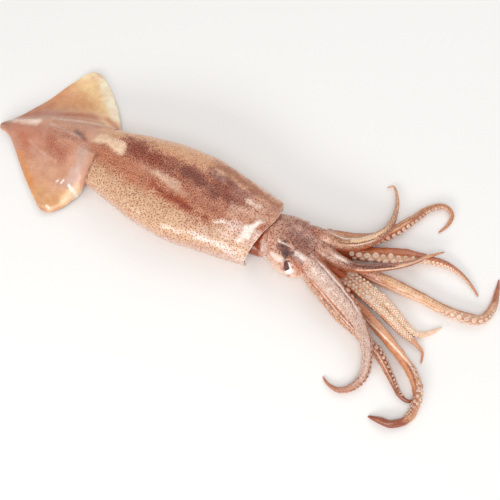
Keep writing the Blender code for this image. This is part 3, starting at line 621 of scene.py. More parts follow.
# Angles go round an arm seen from its root: 0 is its right side, 90 the top, 180 its left.
armShape = {"samples": 22, "around": 52, "step": 0.55, "tip": 0.45, "tuck": 12.0}
arms = {
    "armLeft1": {
        "route": [(126, 12, 19, 11), (144, 15, 23, 10.6), (158, 18.5, 19.5, 10.2), (170.6, 30, 15.5, 8.2),
                  (177.8, 46, 11.5, 6.2), (177, 62, 6.5, 3.8), (173.4, 74, 4, 2.8), (166.6, 84, 2, 1.7),
                  (162, 81.5, 1.2, 1)],
        "root": 40, "oral": -60, "top": (214, 172, 140), "right": (206, 154, 122), "left": (222, 178, 144),
        "under": (196, 124, 80), "tip": (226, 180, 146), "fine": 0.8, "large": 0.8,
        "stripes": [    # angle, width, first and last distance, colour, strength, fine and large spots
            (25, 20, 12, 62, (192, 148, 126), 0.8, (0.8, 0.7)), (90, 15, 30, 66, (238, 202, 160), 0.9, (0.1, 0.1)),
            # the near-white stripes at 112 and 55 degrees are painted highlights along the arm
            (100, 30, 14, 36, (164, 112, 86), 0.75, (0.9, 0.8)), (112, 6, 20, 58, (248, 226, 204), 0.85, (0, 0)),
            (70, 5, 26, 52, (112, 58, 40), 0.85, (0.3, 1)), (55, 5, 34, 56, (246, 228, 212), 0.85, (0, 0.5)),
            (-4, 15, 16, 66, (208, 104, 42), 0.85, (0, 0)), (60, 18, 58, 76, (186, 136, 110), 0.6, (1, 0.5)),
            (40, 12, 64, 82, (150, 90, 64), 0.7, (0.6, 0.6)), (-5, 14, 78, 112, (206, 136, 92), 0.6, (0.3, 0.3))]},
    "armLeft2": {
        "route": [(126, 16, 14, 9), (145, 22.5, 13, 8.8), (165.6, 32.2, 9, 9.2), (179, 45.4, 6, 8.4),
                  (188.5, 63, 4.5, 6.8), (196, 79, 3.4, 5.2), (204.5, 86.5, 2.6, 4.2), (212, 83.5, 2, 3.2),
                  (212.8, 75.5, 1.6, 2.6), (209.5, 66.5, 0.9, 1)],
        "root": 38, "oral": 8, "top": (212, 152, 108), "right": (178, 96, 48), "left": (208, 146, 98),
        "under": (196, 126, 84), "tip": (206, 146, 108), "fine": 0.7, "large": 0.6,
        "stripes": [
            (140, 26, 14, 58, (182, 108, 66), 0.85, (0.5, 0.3)), (150, 8, 20, 58, (146, 78, 42), 0.6, (0.2, 0.3)),
            (118, 5, 58, 92, (240, 206, 176), 0.75, (0, 0)), (100, 6, 58, 94, (156, 88, 58), 0.7, (0.5, 0.5)),
            (80, 5, 60, 92, (238, 196, 160), 0.7, (0, 0)), (40, 26, 48, 96, (176, 94, 46), 0.85, (0.2, 0.3)),
            ((78, 92), 8, 82, 117, (128, 60, 36), 0.85, (0.2, 1))]},
    "armLeft3": {
        "route": [(128, 9, 12, 10), (145, 14, 12, 9.4), (162, 20, 8, 9.8), (181, 29.2, 6, 10.6),
                  (198, 37.4, 5.5, 9.8), (211, 42.5, 4, 6.8), (226, 46, 2.6, 4.4), (239, 43.6, 1.8, 3),
                  (249.5, 38.4, 1.2, 1.8), (254, 35, 0.8, 1)],
        "root": 36, "oral": [(0, 30), (0.5, 28), (0.72, 14), (1, 10)], "top": (192, 110, 62), "right": (220, 158, 120), "left": (186, 106, 68),
        "under": (210, 156, 124), "tip": (206, 150, 116), "fine": 0.6, "large": 0.4,
        "stripes": [
            (138, 9, 50, 92, (152, 80, 50), 0.6, (0.2, 0)), (80, 18, 52, 88, (200, 124, 84), 0.6, (0.5, 0.1)),
            (72, 10, 46, 90, (186, 110, 72), 0.6, (0.2, 0.2)), (110, 26, 92, 128, (176, 110, 82), 0.8, (0.7, 0.3)),
            (95, 6, 104, 134, (146, 84, 64), 0.7, (0.3, 0.3)), (24, 34, 44, 92, (246, 206, 174), 0.9, (0, 0)),
            (25, 14, 100, 134, (228, 184, 158), 0.7, (0, 0))]},
    "armLeft4": {
        "route": [(132, 3, 8, 8), (165, 5.2, 7.5, 6.4), (185, 2.2, 5.5, 7.2), (201, -1.6, 4.4, 7.2),
                  (215, -7.2, 3.4, 6), (226, -11, 2.6, 4.4), (232.5, -9, 2, 3.8), (237.5, -3.5, 1.6, 2.8),
                  (241.5, 2.5, 0.8, 1)],
        "root": 34, "oral": 92, "top": (228, 182, 150), "right": (222, 167, 128), "left": (230, 183, 150),
        "under": (214, 166, 136), "tip": (240, 206, 180), "fine": 0.1, "large": 0.1, "shade": (24, 42),
        "stripes": [(92, 80, 30, 46, (200, 128, 84), 0.7, (0, 0)), ((-15, 40), 9, 36, 76, (196, 112, 66), 0.7, (0, 0)),
                    (120, 5, 44, 96, (206, 136, 92), 0.6, (0, 0))]},
    "armRight1": {
        "route": [(126, 3, 20, 11), (142, 7, 21.5, 10.6), (158, 5, 20, 10.4), (173, 8, 17, 6.8),
                  (189, 18.2, 14.5, 5.2), (203, 30.5, 12, 3.8), (211, 42, 9, 2.6), (220, 53, 5, 1.2)],
        "root": 40, "oral": -70, "top": (184, 134, 112), "right": (178, 124, 100), "left": (184, 132, 106),
        "under": (206, 154, 128), "tip": (224, 168, 130), "fine": 0.95, "large": 0.9,
        "stripes": [
            (86, 60, 8, 40, (196, 156, 134), 0.8, (1, 1)), (86, 24, 40, 72, (126, 72, 54), 0.8, (1, 0.8)),
            # the pale stripe at 90 degrees is a painted highlight on the arm's top
            (90, 14, 29, 41, (236, 218, 206), 0.9, (0, 0.2)), (60, 8, 54, 76, (84, 42, 34), 0.85, (0.6, 1)),
            (34, 14, 48, 84, (244, 210, 182), 0.9, (0.1, 0.2)), (128, 12, 42, 84, (146, 84, 60), 0.7, (0.8, 0.5)),
            (60, 20, 76, 104, (238, 204, 176), 0.85, (0, 0)), (112, 10, 78, 104, (180, 112, 80), 0.6, (0.5, 0.6)),
            (-10, 14, 20, 60, (196, 120, 76), 0.7, (0.2, 0.2))]},
    "armRight2": {
        "route": [(124, -1, 17, 12), (142, -5, 20, 12.8), (166, -13.6, 18, 12.6), (186.5, -22.8, 14, 10),
                  (202, -36, 11, 8), (209.8, -53, 6.5, 7), (207.8, -64, 3.4, 5.8), (200.4, -71.2, 2.4, 4),
                  (192, -71, 1.5, 2.4), (186, -67.5, 0.8, 1)],
        "root": 50, "oral": 172, "crest": (146, 20, 0.24, 14, 64), "top": (212, 186, 174), "right": (212, 184, 168), "left": (196, 138, 112),
        "under": (212, 172, 150), "tip": (186, 128, 100), "fine": 0.6, "large": 0.3,
        "stripes": [
            (66, 26, 0, 40, (226, 202, 190), 0.8, (0.85, 0.6)), (100, 5, 14, 64, (160, 106, 92), 0.7, (1, 1)),
            # the near-white stripes at 112 and 126 degrees are painted highlights along the arm
            (112, 4, 20, 66, (246, 232, 224), 0.75, (0, 0)), (134, 16, 14, 62, (196, 146, 122), 0.9, (0.7, 0.6)),
            (160, 10, 14, 70, (194, 108, 62), 0.85, (0, 0)), (60, 30, 40, 84, (206, 174, 156), 0.6, (0.5, 0.4)),
            (126, 6, 62, 98, (246, 230, 222), 0.8, (0, 0)), (150, 16, 64, 140, (160, 88, 62), 0.85, (0.4, 0.4)),
            (60, 8, 84, 128, (196, 148, 130), 0.5, (0.3, 1)), (110, 9, 100, 140, (206, 152, 124), 0.7, (0.3, 0.3))]},
    "armRight3": {
        "route": [(126, -4, 11, 8), (139, -8, 12.5, 9), (156, -16.2, 12.2, 10.2), (178, -25.8, 9, 8.6),
                  (197.2, -31.2, 4.6, 7), (210.8, -35.8, 3.6, 7.4), (224.5, -45.4, 3, 5.4),
                  (236, -54.4, 2, 3.8), (243.6, -56.2, 1.4, 2.6), (247.5, -51.5, 0.8, 1)],
        "root": 46, "oral": [(0, 205), (0.35, 195), (0.5, 125), (0.8, 140), (1, 140)],
        "top": (200, 148, 118), "right": (212, 164, 130), "left": (162, 88, 50),
        "under": (206, 158, 124), "tip": (156, 88, 58), "fine": 0.8, "large": 0.8,
        "stripes": [
            (118, 7, 14, 68, (202, 110, 52), 0.85, (0, 0)), (102, 6, 18, 68, (206, 158, 132), 0.8, (0.85, 0.75)),
            # the near-white stripes at 70 and 62 degrees are painted highlights along the arm
            (86, 8, 18, 70, (190, 140, 112), 0.8, (0.9, 0.75)), (70, 4, 14, 72, (246, 228, 212), 0.7, (0, 0.2)),
            (55, 7, 18, 70, (164, 108, 86), 0.75, (0.9, 0.8)), (28, 18, 12, 72, (204, 166, 140), 0.8, (0.85, 0.75)),
            (-30, 12, 20, 70, (204, 142, 100), 0.7, (0.4, 0.4)), (62, 5, 78, 120, (248, 226, 208), 0.85, (0, 0)),
            (84, 8, 78, 122, (150, 88, 66), 0.7, (0.5, 0.8)), (118, 26, 74, 128, (146, 72, 36), 0.9, (0.3, 0.3)),
            (34, 20, 76, 124, (188, 132, 102), 0.75, (0.5, 0.6))]},
    "armRight4": {
        "route": [(132, -1, 8, 8), (165, 0, 7.5, 7.4), (187.5, -4.4, 5.5, 7.4), (204.5, -9, 4.4, 7.2),
                  (218.5, -14, 3.2, 5.8), (230.5, -17, 1.8, 3.2), (237.5, -20.6, 1.2, 2), (240, -28, 0.8, 1)],
        "root": 34, "oral": 86, "top": (234, 189, 156), "right": (228, 175, 137), "left": (228, 179, 143),
        "under": (214, 166, 136), "tip": (212, 150, 112), "fine": 0.1, "large": 0.1, "shade": (24, 42),
        "stripes": [
            (90, 80, 30, 46, (200, 128, 84), 0.7, (0, 0)), ((85, 135), 9, 34, 76, (194, 110, 64), 0.75, (0, 0)),
            (40, 5, 44, 92, (208, 138, 94), 0.6, (0, 0)),
            (5, 22, 40, 88, (222, 158, 112), 0.85, (0, 0)), ((70, 110), 20, 96, 114, (206, 142, 102), 0.7, (0.2, 0.2))]},
    "tentacleLeft": {
        "route": [(132, 7, 10, 7), (152, 10, 10, 6.8), (175, 11.3, 7, 8.2), (193, 13, 5.6, 9.4),
                  (219, 14.3, 4, 7.4), (237, 13.9, 3.6, 7), (252, 15.6, 3.6, 7.2), (263, 20, 3.4, 6.6),
                  (266.2, 31, 3, 5.6), (264.6, 42.5, 2.2, 4.2), (261.5, 54, 0.8, 1)],
        "root": 34, "oral": 22, "top": (228, 186, 150), "right": (224, 182, 150), "left": (206, 142, 94),
        "under": (226, 186, 156), "tip": (182, 112, 80), "ending": (0.84, 0.9), "fine": 0.25, "large": 0.25,
        "stripes": [
            (70, 50, 34, 60, (222, 178, 158), 0.8, (0.3, 0.7)), (92, 26, 56, 112, (228, 190, 152), 0.8, (0.6, 0.1)),
            # the near-white stripe at 12 degrees is a painted highlight along the tentacle
            (132, 16, 70, 122, (194, 114, 56), 0.9, (0.3, 0)), (12, 7, 48, 112, (248, 228, 212), 0.85, (0, 0)),
            (30, 6, 44, 110, (200, 142, 106), 0.6, (0.2, 0.9)), (-12, 12, 50, 112, (228, 186, 156), 0.7, (0.1, 0.3)),
            (60, 60, 114, 142, (198, 146, 116), 0.85, (0.2, 0)), (140, 9, 118, 150, (146, 80, 58), 0.85, (0, 0))]},
    "tentacleRight": {
        "route": [(134, -4, 9, 7), (155, -6.6, 9, 6.6), (172, -9.8, 7.5, 6.8), (192, -15, 5.4, 8),
                  (219.2, -26.8, 4.2, 8), (237.6, -37.9, 3.8, 7.2), (247.6, -51, 3.2, 6),
                  (249, -65.6, 2.9, 5.8), (241.6, -75, 2.8, 6), (233, -77, 2.4, 5), (224.5, -78, 0.9, 1.2)],
        "root": 34, "oral": [(0, 172), (0.6, 165), (0.71, 155), (0.77, 75), (0.8, 20), (1, 20)],
        "top": (222, 168, 132), "right": (212, 148, 106), "left": (216, 160, 122),
        "under": (214, 164, 130), "tip": (152, 84, 56), "ending": (0.83, 0.88), "fine": 0.3, "large": 0.25,
        "stripes": [
            # the near-white stripe turning from 32 to 100 degrees is a painted highlight along the tentacle
            (90, 60, 34, 66, (206, 138, 100), 0.8, (0.5, 0.2)), ((32, 100), 10, 62, 112, (250, 232, 216), 0.85, (0, 0)),
            ((8, 70), 8, 62, 110, (210, 138, 86), 0.75, (0.2, 0)), ((120, 150), 14, 60, 112, (208, 138, 92), 0.7, (0.8, 0.2)),
            ((160, 168), 7, 50, 112, (140, 78, 54), 0.8, (0, 0)), (75, 14, 104, 122, (150, 84, 62), 0.85, (0.4, 0.3)),
            (60, 60, 122, 144, (176, 118, 90), 0.8, (0.3, 0)), (80, 40, 146, 162, (206, 160, 136), 0.7, (0.2, 0))]},
}

# the mass round the mouth, which the arms grow from: places and thickness
crown = {"route": [(136, 3, 13, 19), (150, 3, 12, 17), (160, 2, 10.5, 12), (168, 0.5, 9, 6)],
         "web": [(158, -4, 7.5, 8), (168, -5, 5.4, 6.4), (176, -7, 3.8, 4.8), (183, -9.2, 2.4, 2.4)],
         "tone": (184, 94, 46), "faces": (50, 76)}


class ArmLine:
    # an arm's centre line with its radius, its frame and how far along it each station is
    def __init__(self, look):
        rows = smoothRoute(look["route"], armShape["samples"])
        self.radius = np.maximum(rows[:, 3] / 2, armShape["tip"])
        self.centre = np.column_stack([rows[:, 0], rows[:, 1],
                                       np.maximum(rows[:, 2], self.radius + 0.05)])
        along = np.gradient(self.centre, axis=0)
        self.along = along / np.linalg.norm(along, axis=1)[:, None]
        side = np.cross(self.along, (0, 0, 1))
        self.side = side / np.linalg.norm(side, axis=1)[:, None]
        self.up = np.cross(self.side, self.along)
        steps = np.linalg.norm(np.diff(self.centre, axis=0), axis=1)
        self.distance = np.concatenate([[0], np.cumsum(steps)])
        self.length = self.distance[-1]

    def mouthward(self):
        # the angle that faces the crown of arms, at each station
        route = np.array(crown["route"], float)
        gap = np.column_stack([np.interp(self.centre[:, 0], route[:, 0], route[:, k]) for k in (1, 2)])
        gap -= self.centre[:, 1:]
        return np.arctan2((gap * self.up[:, 1:]).sum(1), (gap * self.side[:, 1:]).sum(1))

    def read(self, values, distance):
        values = np.atleast_2d(values.T).T
        return np.column_stack([np.interp(distance, self.distance, column) for column in values.T])

    def point(self, distance, angle, reach):
        # reach is in radii; angle in radians, from the arm's right side up over the top
        side, up = self.read(self.side, distance), self.read(self.up, distance)
        radius = self.read(self.radius, distance)
        spoke = side * np.cos(angle)[:, None] + up * np.sin(angle)[:, None]
        return self.read(self.centre, distance) + spoke * radius * reach[:, None], spoke


def oralAngle(look, share):
    # which way the suckers face, in radians: one angle, or a table of shares of the length and angles
    table = look["oral"] if isinstance(look["oral"], list) else [(0, look["oral"]), (1, look["oral"])]
    return np.radians(np.interp(share, [row[0] for row in table], [row[1] for row in table]))


def armOutline(look, distance, angle, length):
    # the section's shape, in radii: a flat sucker face between two thin fringes, and a keel behind
    turn = np.angle(np.exp(1j * (angle - oralAngle(look, distance / length))))
    slim = easeBetween(0, 14, length - distance)
    flat = 0.17 * easeBetween(0.45, 1.0, np.cos(turn)) * slim
    keel = 0.1 * bell(np.pi - np.abs(turn), 0.45)
    waves = 0.75 + 0.25 * np.cos(distance * 2.6 + np.sign(turn) * 1.3)
    fringe = 0.15 * bell(np.abs(turn) - 0.92, 0.17) * waves * slim
    at, wide, height, first, last = look.get("crest", (0, 1, 0, 0, 1))
    off = np.degrees(np.angle(np.exp(1j * (angle - math.radians(at)))))
    crest = height * bell(off, wide) * easeBetween(first - 8, first, distance) * (1 - easeBetween(last - 8, last + 8, distance))
    return 0.96 - flat + keel + fringe + crest


def armPaint(name, distance, angle, wander):
    # four tones round the arm, a deep tone towards the mouth, stripes along it, of which the near-white ones are
    # painted highlights, and its tip
    look, line = arms[name], armLines[name]
    share = distance / line.length
    quarters = {"right": 0, "top": 90, "left": 180, "under": 270}
    shares = {key: np.clip(np.cos(angle - math.radians(at)) + 0.15 * wander, 0.001, 1) ** 1.6
              for key, at in quarters.items()}
    total = sum(shares.values())
    tone = sum((shares[key] / total)[:, None] * linear(look[key]) for key in quarters)
    back = 0.5 - 0.5 * np.cos(angle - oralAngle(look, share))
    fine = look["fine"] * (0.25 + 0.75 * back) * (1 - 0.4 * easeBetween(0.6, 1, share))
    spots = np.column_stack([fine, look["large"] * (0.3 + 0.7 * back) * (0.85 + 0.3 * wander)])
    toMouth = np.interp(distance, line.distance, np.unwrap(line.mouthward()))
    inner = easeBetween(0.15, 0.75, np.cos(angle - toMouth)) * (1 - easeBetween(*look.get("shade", crown["faces"]), distance))
    tone, spots = blend(tone, linear(crown["tone"]), 0.9 * inner), spots * (1 - inner[:, None])
    for at, wide, first, last, colour, strength, dots in look["stripes"]:
        start, end = at if isinstance(at, tuple) else (at, at)
        middle = np.radians(start + (end - start) * np.clip((distance - first) / (last - first), 0, 1))
        off = np.degrees(np.angle(np.exp(1j * (angle - middle))))
        laid = np.exp(-(np.abs(off + wander * 2) / wide) ** 3) * easeBetween(first - 3, first + 3, distance)
        laid *= 1 - easeBetween(last - 5, last + 5, distance)
        tone, spots = blend(tone, linear(colour), strength * laid), blend(spots, np.array(dots, float), laid)
    tone = blend(tone, linear(look["tip"]), easeBetween(*look.get("ending", (0.72, 0.95)), share + 0.02 * wander))
    return tone, np.clip(spots, 0, 1)


armLines = {name: ArmLine(look) for name, look in arms.items()}


def makeArm(name):
    look, line = arms[name], armLines[name]
    start = look["root"] - armShape["tuck"]
    steps = int((line.length - start) / armShape["step"])

    def place(u, v):
        distance = start + (line.length - start) * v
        angle = 2 * np.pi * u
        reach = armOutline(look, distance, angle, line.length)
        reach *= 0.75 + 0.25 * easeBetween(0, armShape["tuck"] * 0.8, distance - start)
        reach *= np.sqrt(np.clip((line.length - distance) / 0.8, 0, 1))
        reach = np.where(v < 0.5 / steps, 0.0, reach)
        points, spoke = line.point(distance, angle, reach)
        points += spoke * (0.07 * ripple(points, 4.5, 21))[:, None] * (line.read(line.radius, distance))
        points[:, 2] = np.maximum(points[:, 2], 0.05)
        return points

    piece = closedSkin(name, armShape["around"], steps, place)
    points = corners(piece)
    distance, angle, off = locate(line, points)
    wander = ripple(points, 3.2, 22) + 0.4 * ripple(points, 1.1, 23)
    keepPaint(piece, *armPaint(name, distance, angle, wander))
    return dress(piece, materials["arm"])


def locate(line, points, last=None):
    # how far along the arm each point is, its angle round it, and its distance from the surface
    stations = slice(None, None if last is None else np.searchsorted(line.distance, last) + 1)
    centre = line.centre[stations]
    nearest = np.zeros(len(points), int)
    for begin in range(0, len(points), 4000):
        block = points[begin:begin + 4000]
        gaps = ((block[:, None, :] - centre[None]) ** 2).sum(2)
        nearest[begin:begin + 4000] = gaps.argmin(1)
    offset = points - centre[nearest]
    across = (offset * line.side[nearest]).sum(1)
    rise = (offset * line.up[nearest]).sum(1)
    return line.distance[nearest], np.arctan2(rise, across), np.linalg.norm(offset, axis=1) - line.radius[nearest]


materials = {"arm": skinMaterial("armSkin", skinLike(
    fineCells=680.0, fineSpot=0.41, largeCells=420.0, largeSpot=0.3, fineDark=(0.34, 0.08, 0.04),
    largeDark=(0.26, 0.04, 0.01), bump=0.5))}
for name in arms:
    makeArm(name)
print("stage: arms and tentacles")


# ---------------------------------------------------------------- suckers

suckers = {
    "cup": [(0.55, -0.5), (0.98, 0.05), (0.93, 0.42), (0.64, 0.66), (0.34, 0.52), (0.0, 0.46)],
    "bead": [(0.8, -0.6), (0.98, 0.0), (0.66, 0.42), (0.0, 0.55)],
    "dark": (168, 96, 62), "pale": (250, 227, 208),
    "rows": {       # first and last share of the length, size in radii, gap in sizes, angle off the middle, tint
        "armLeft1": (0.34, 0.94, 0.32, 1.3, 24, 0.35), "armLeft2": (0.3, 0.93, 0.42, 1.35, 28, 0.25),
        "armLeft3": (0.27, 0.92, 0.42, 1.28, 25, 0.0), "armRight1": (0.36, 0.9, 0.28, 1.4, 22, 0.35),
        "armRight2": (0.34, 0.92, 0.32, 1.4, 24, 0.6), "armRight3": (0.36, 0.92, 0.42, 1.35, 28, 0.4)},
    "clubs": {      # first and last share, size of the big ones in radii, tint
        "tentacleLeft": (0.62, 0.86, 0.6, 0.3), "tentacleRight": (0.62, 0.84, 0.62, 0.4)},
    "beads": {      # first and last distance, radius, pitch, angles off the middle
        "armLeft4": [(29, 56, 1.75, 3.1, (-48, 0, 48)), (55, 100, 1.05, 1.85, (-64, -32, 0, 32, 64))],
        "armRight4": [(29, 56, 1.75, 3.1, (-48, 0, 48)), (55, 96, 1.05, 1.85, (-64, -32, 0, 32, 64))]},
}


def spun(name, sides):
    # a small round shape, spun from its outline
    bm = bmesh.new()
    outline = [bm.verts.new((r, 0, h)) for r, h in suckers[name]]
    edges = [bm.edges.new(pair) for pair in zip(outline, outline[1:])]
    bmesh.ops.spin(bm, geom=outline + edges, cent=(0, 0, 0), axis=(0, 0, 1), angle=2 * math.pi,
                   steps=sides, use_merge=True)
    bmesh.ops.remove_doubles(bm, verts=bm.verts, dist=1e-4)
    bmesh.ops.holes_fill(bm, edges=[edge for edge in bm.edges if edge.is_boundary], sides=0)
    bmesh.ops.recalc_face_normals(bm, faces=bm.faces)
    shape = bpy.data.meshes.new(name)
    bm.to_mesh(shape)
    bm.free()
    return shape


def suckerPlaces():
    # rows of (shape, arm, distance, angle, size, tint)
    places = []
    for name, (first, last, size, gap, spread, tint) in suckers["rows"].items():
        line, side = armLines[name], 1
        distance = first * line.length
        while distance < last * line.length:
            radius = float(np.interp(distance, line.distance, line.radius))
            grown = radius * size * random.uniform(0.78, 1.12)
            oral = math.degrees(oralAngle(arms[name], distance / line.length))
            places.append(("cup", name, distance, oral + side * (spread + random.uniform(-6, 6)), grown,
                           tint + random.uniform(-0.1, 0.2)))
            distance += max(grown * gap, 0.5)
            side = -side
    for name, (first, last, size, tint) in suckers["clubs"].items():
        line = armLines[name]
        distance = first * line.length
        while distance < last * line.length:
            oral = math.degrees(oralAngle(arms[name], distance / line.length))
            share = (distance / line.length - first) / (last - first)
            radius = float(np.interp(distance, line.distance, line.radius))
            swelling = 0.55 + 0.45 * math.sin(math.pi * min(share * 1.25, 1) ** 0.8)
            big = radius * size * swelling
            for off, scale, shift in ((-24, 1, 0), (26, 1, 0.5), (-66, 0.5, 0.3), (68, 0.5, 0.8)):
                grown = big * scale * (1 + 0.1 * random.uniform(-1, 1))
                places.append(("cup", name, distance + shift * big * 2, oral + off + random.uniform(-4, 4), grown,
                               tint + random.uniform(-0.1, 0.2)))
            distance += max(big * 2.35, 1.0)
    for name, fields in suckers["beads"].items():
        for first, last, radius, pitch, angles in fields:
            for row, distance in enumerate(np.arange(first, last, pitch)):
                oral = math.degrees(oralAngle(arms[name], distance / armLines[name].length))
                grown = radius * (1 - 0.3 * (distance - first) / (last - first))
                for k, off in enumerate(angles):
                    places.append(("bead", name, distance + pitch * (0.5 * (k % 2) + random.uniform(-0.2, 0.2)),
                                   oral + off + random.uniform(-5, 5), grown * random.uniform(0.75, 1.15),
                                   random.uniform(-0.05, 0.15) + 0.5 * max(0, 1 - (distance - first) / 14) * (pitch > 2)))
    return places


def makeSuckers():
    shapes = {"cup": spun("cup", 8), "bead": spun("bead", 6)}
    bm = bmesh.new()
    depth = bm.verts.layers.float.new("depth")
    tintLayer = bm.verts.layers.float.new("tint")
    for shape, name, distance, angle, size, tint in suckerPlaces():
        line, look = armLines[name], arms[name]
        at, turned = np.array([distance]), np.array([math.radians(angle)])
        reach = armOutline(look, at, turned, line.length)
        point, spoke = line.point(at, turned, reach)
        tilt = Vector([random.uniform(-0.15, 0.15) for _ in range(3)])
        facing = (Vector(spoke[0]) + tilt).to_track_quat("Z", "Y").to_matrix()
        squash = Vector((random.uniform(0.85, 1.15), random.uniform(0.85, 1.1), random.uniform(0.8, 1.15)))
        before = len(bm.verts)
        bm.from_mesh(shapes[shape])
        bm.verts.ensure_lookup_table()
        added = bm.verts[before:]
        for corner in added:
            rim = math.hypot(corner.co.x, corner.co.y)
            corner[depth] = 1.0 if shape == "cup" and corner.co.z > 0.3 and rim < 0.4 else 0.0
            corner[tintLayer] = min(max(tint, 0), 1)
            place = Vector(point[0]) + facing @ (corner.co * squash * size)
            corner.co = Vector((place.x, place.y, max(place.z, 0.03))) * mm
    piece = newPiece(bm, "suckers")
    count = len(piece.data.vertices)
    deep, tint = np.zeros(count), np.zeros(count)
    piece.data.attributes["depth"].data.foreach_get("value", deep)
    piece.data.attributes["tint"].data.foreach_get("value", tint)
    tone = blend(np.tile(linear(suckers["pale"]), (count, 1)), linear(suckers["dark"]), tint)
    tone = blend(tone, linear(suckers["dark"]), deep * 0.2)
    keepPaint(piece, tone, np.zeros((count, 2)))
    return dress(piece, skinMaterial("suckerFlesh", skinLike(mottle=0.3, bump=0.3, depth=0.2)))


makeSuckers()
print("stage: suckers")


# ---------------------------------------------------------------- head with the arms' roots

head = {
    "stations": [   # x, middle, half width, lowest, highest
        (88, 3, 15, 2, 25), (103, 3.9, 13.4, 1.5, 26.4), (112, 3.8, 16.4, 0.8, 28.2), (122, 2.4, 20, 0.3, 29.5),
        (132, 1.8, 20.2, 0.3, 29), (141, 2.4, 17.5, 0.8, 27.5), (151, 3, 13, 2, 22), (160, 4, 8.5, 3.5, 15)],
    "voxel": 0.55, "eyeRadius": 7.6, "eyes": {"right": (127, -11.6, 15), "left": (127, 15.2, 15)},
    "openings": {"right": (133.6, -16.2, 19.2), "left": (133.6, 20.8, 16.4)}, "opening": (3.8, 7.2),
    "looking": {"right": (0.55, -0.62, 0.52), "left": (0.6, 0.7, 0.28)},
    "seam": {"arms": ("armRight2", "armRight3"), "first": 12, "last": 68, "radius": 4.4, "tone": (190, 100, 48)},
    "funnel": [(92, -8, 8.5, 13.6), (101, -7.5, 7.8, 12.4), (110.5, -7, 7, 9.9)],
    "top": (208, 162, 140), "low": (220, 190, 172), "neck": (206, 158, 138), "funnelAndRecessShade": (162, 80, 38), "mirror": 3.6,
    "folds": [([(106, 3, 27.5), (107, -4, 25.5), (109, -9.5, 20), (109, -13, 12)], 0.8, 0.6),
              ([(109, 2, 28), (111, -5, 26), (113.5, -10.5, 21), (113, -14, 12)], 0.9, 0.8),
              ([(112, 4, 28.6), (114, -5, 27), (117, -11, 22.5), (117, -15, 15)], 0.8, 0.5)],
    "marks": [
        ([(109, 4, 28), (110, -3, 27), (112, -6, 25.5)], 3.0, 2.5, (200, 146, 120), 0.6),
        ([(108.5, -8.5, 22.5), (109, -12, 18)], 1.8, 1.5, (218, 194, 182), 0.85),
        # painted shade: a dark line in the crease where the mantle's rim lies on the head
        ([(111, 11, 27), (109, 5, 28), (107.5, 1, 27.5), (106, -5, 25)], 0.9, 1.0, (138, 70, 42), 0.85),
        ([(110.5, -10, 23), (112, -13, 17), (112, -15, 10)], 1.8, 1.4, (230, 206, 196), 0.9),
        ([(107.5, -8, 23), (108.5, -12, 16)], 0.8, 0.8, (228, 202, 190), 0.6),
        ([(120, 8, 29), (130, 5, 29), (138, 3, 28)], 6, 6, (174, 124, 108), 0.6),
        ([(126, 4, 29), (133, 3, 29), (140, 2, 28)], 4.5, 5, (142, 92, 76), 0.8),
        ([(125, 15, 27), (134, 15, 27)], 2.4, 3, (146, 94, 80), 0.6),
        ([(141, 3, 28), (148, 0, 24)], 3, 3, (200, 162, 146), 0.45),
        ([(130, 12, 28), (142, 12, 26)], 3.5, 3, (166, 104, 80), 0.65),
        ([(132, -2, 28.5), (140, -3, 27)], 4, 4, (150, 98, 80), 0.7),
        ([(122, -6.5, 28), (129, -8.5, 27.5), (136.5, -11, 26.5)], 3.3, 2.2, (112, 68, 64), 0.92),
        ([(128, -10.5, 26.5), (131, -14.5, 24)], 2.4, 1.6, (88, 50, 48), 0.92),
        # painted highlight: a near-white streak over the head that runs on along the arm beside it
        ([(118.8, -4.6, 28.2), (121, -5.4, 28)], 1.0, 0.6, (244, 232, 226), 0.95),
        ([(122.5, -5, 29), (128, -5, 29), (131, -6, 28), (134, -7, 27.5)], 0.5, 0.5, (238, 220, 210), 0.85),
        ([(134, -7, 27.5), (139, -7.5, 27), (146, -8.5, 26), (153, -11, 25)], 1.6, 1.5, (232, 214, 206), 0.85),
        # the pale lid behind the eye, with a painted highlight on it
        ([(118.5, -13.5, 23), (123, -14.5, 24), (126, -14.8, 24.4)], 2.0, 0.9, (230, 208, 196), 0.95),
        ([(129.2, -14.5, 24), (129.6, -17, 19.5)], 1.5, 1.4, (104, 64, 60), 0.9),
        ([(120, -18, 14), (128, -19, 12), (138, -17, 12)], 5, 4, (228, 194, 174), 0.8),
        # painted shadow of the eyelid: a brown crescent along the front of the eye's opening
        ([(131.5, -12, 26.5), (136, -12, 25), (139, -14, 21.5), (140, -15, 16)], 1.7, 1.6, (198, 130, 92), 0.8),
        ([(134, -17.5, 11.5), (130, -18.5, 12.5)], 0.7, 0.7, (166, 128, 116), 0.8),
        ([(114, -6.5, 26.5), (116.5, -7.5, 26)], 0.7, 0.6, (152, 76, 48), 0.9),
        ([(142, -13.2, 20), (143.6, -13, 18.4)], 0.9, 0.6, (172, 84, 50), 0.95)],
    "spotMarks": [([(114, 2, 28), (128, 6, 29), (146, 6, 25)], 14, 6, (1.0, 1.0), 1),
                  # no spots under the painted highlights on the lid and along the streak over the head
                  ([(118, -13.5, 22.5), (126, -15, 24)], 2.6, 1.2, (0.0, 0.0), 1),
                  ([(134, -7, 27.5), (146, -8.5, 26)], 1.8, 1, (0.1, 0.35), 1),
                  ([(106, 0, 27), (112, -11, 20)], 4, 2, (0.35, 0.25), 0.9),
                  ([(120, -18, 14), (138, -17, 12)], 6, 3, (0.25, 0.2), 0.9)],
}


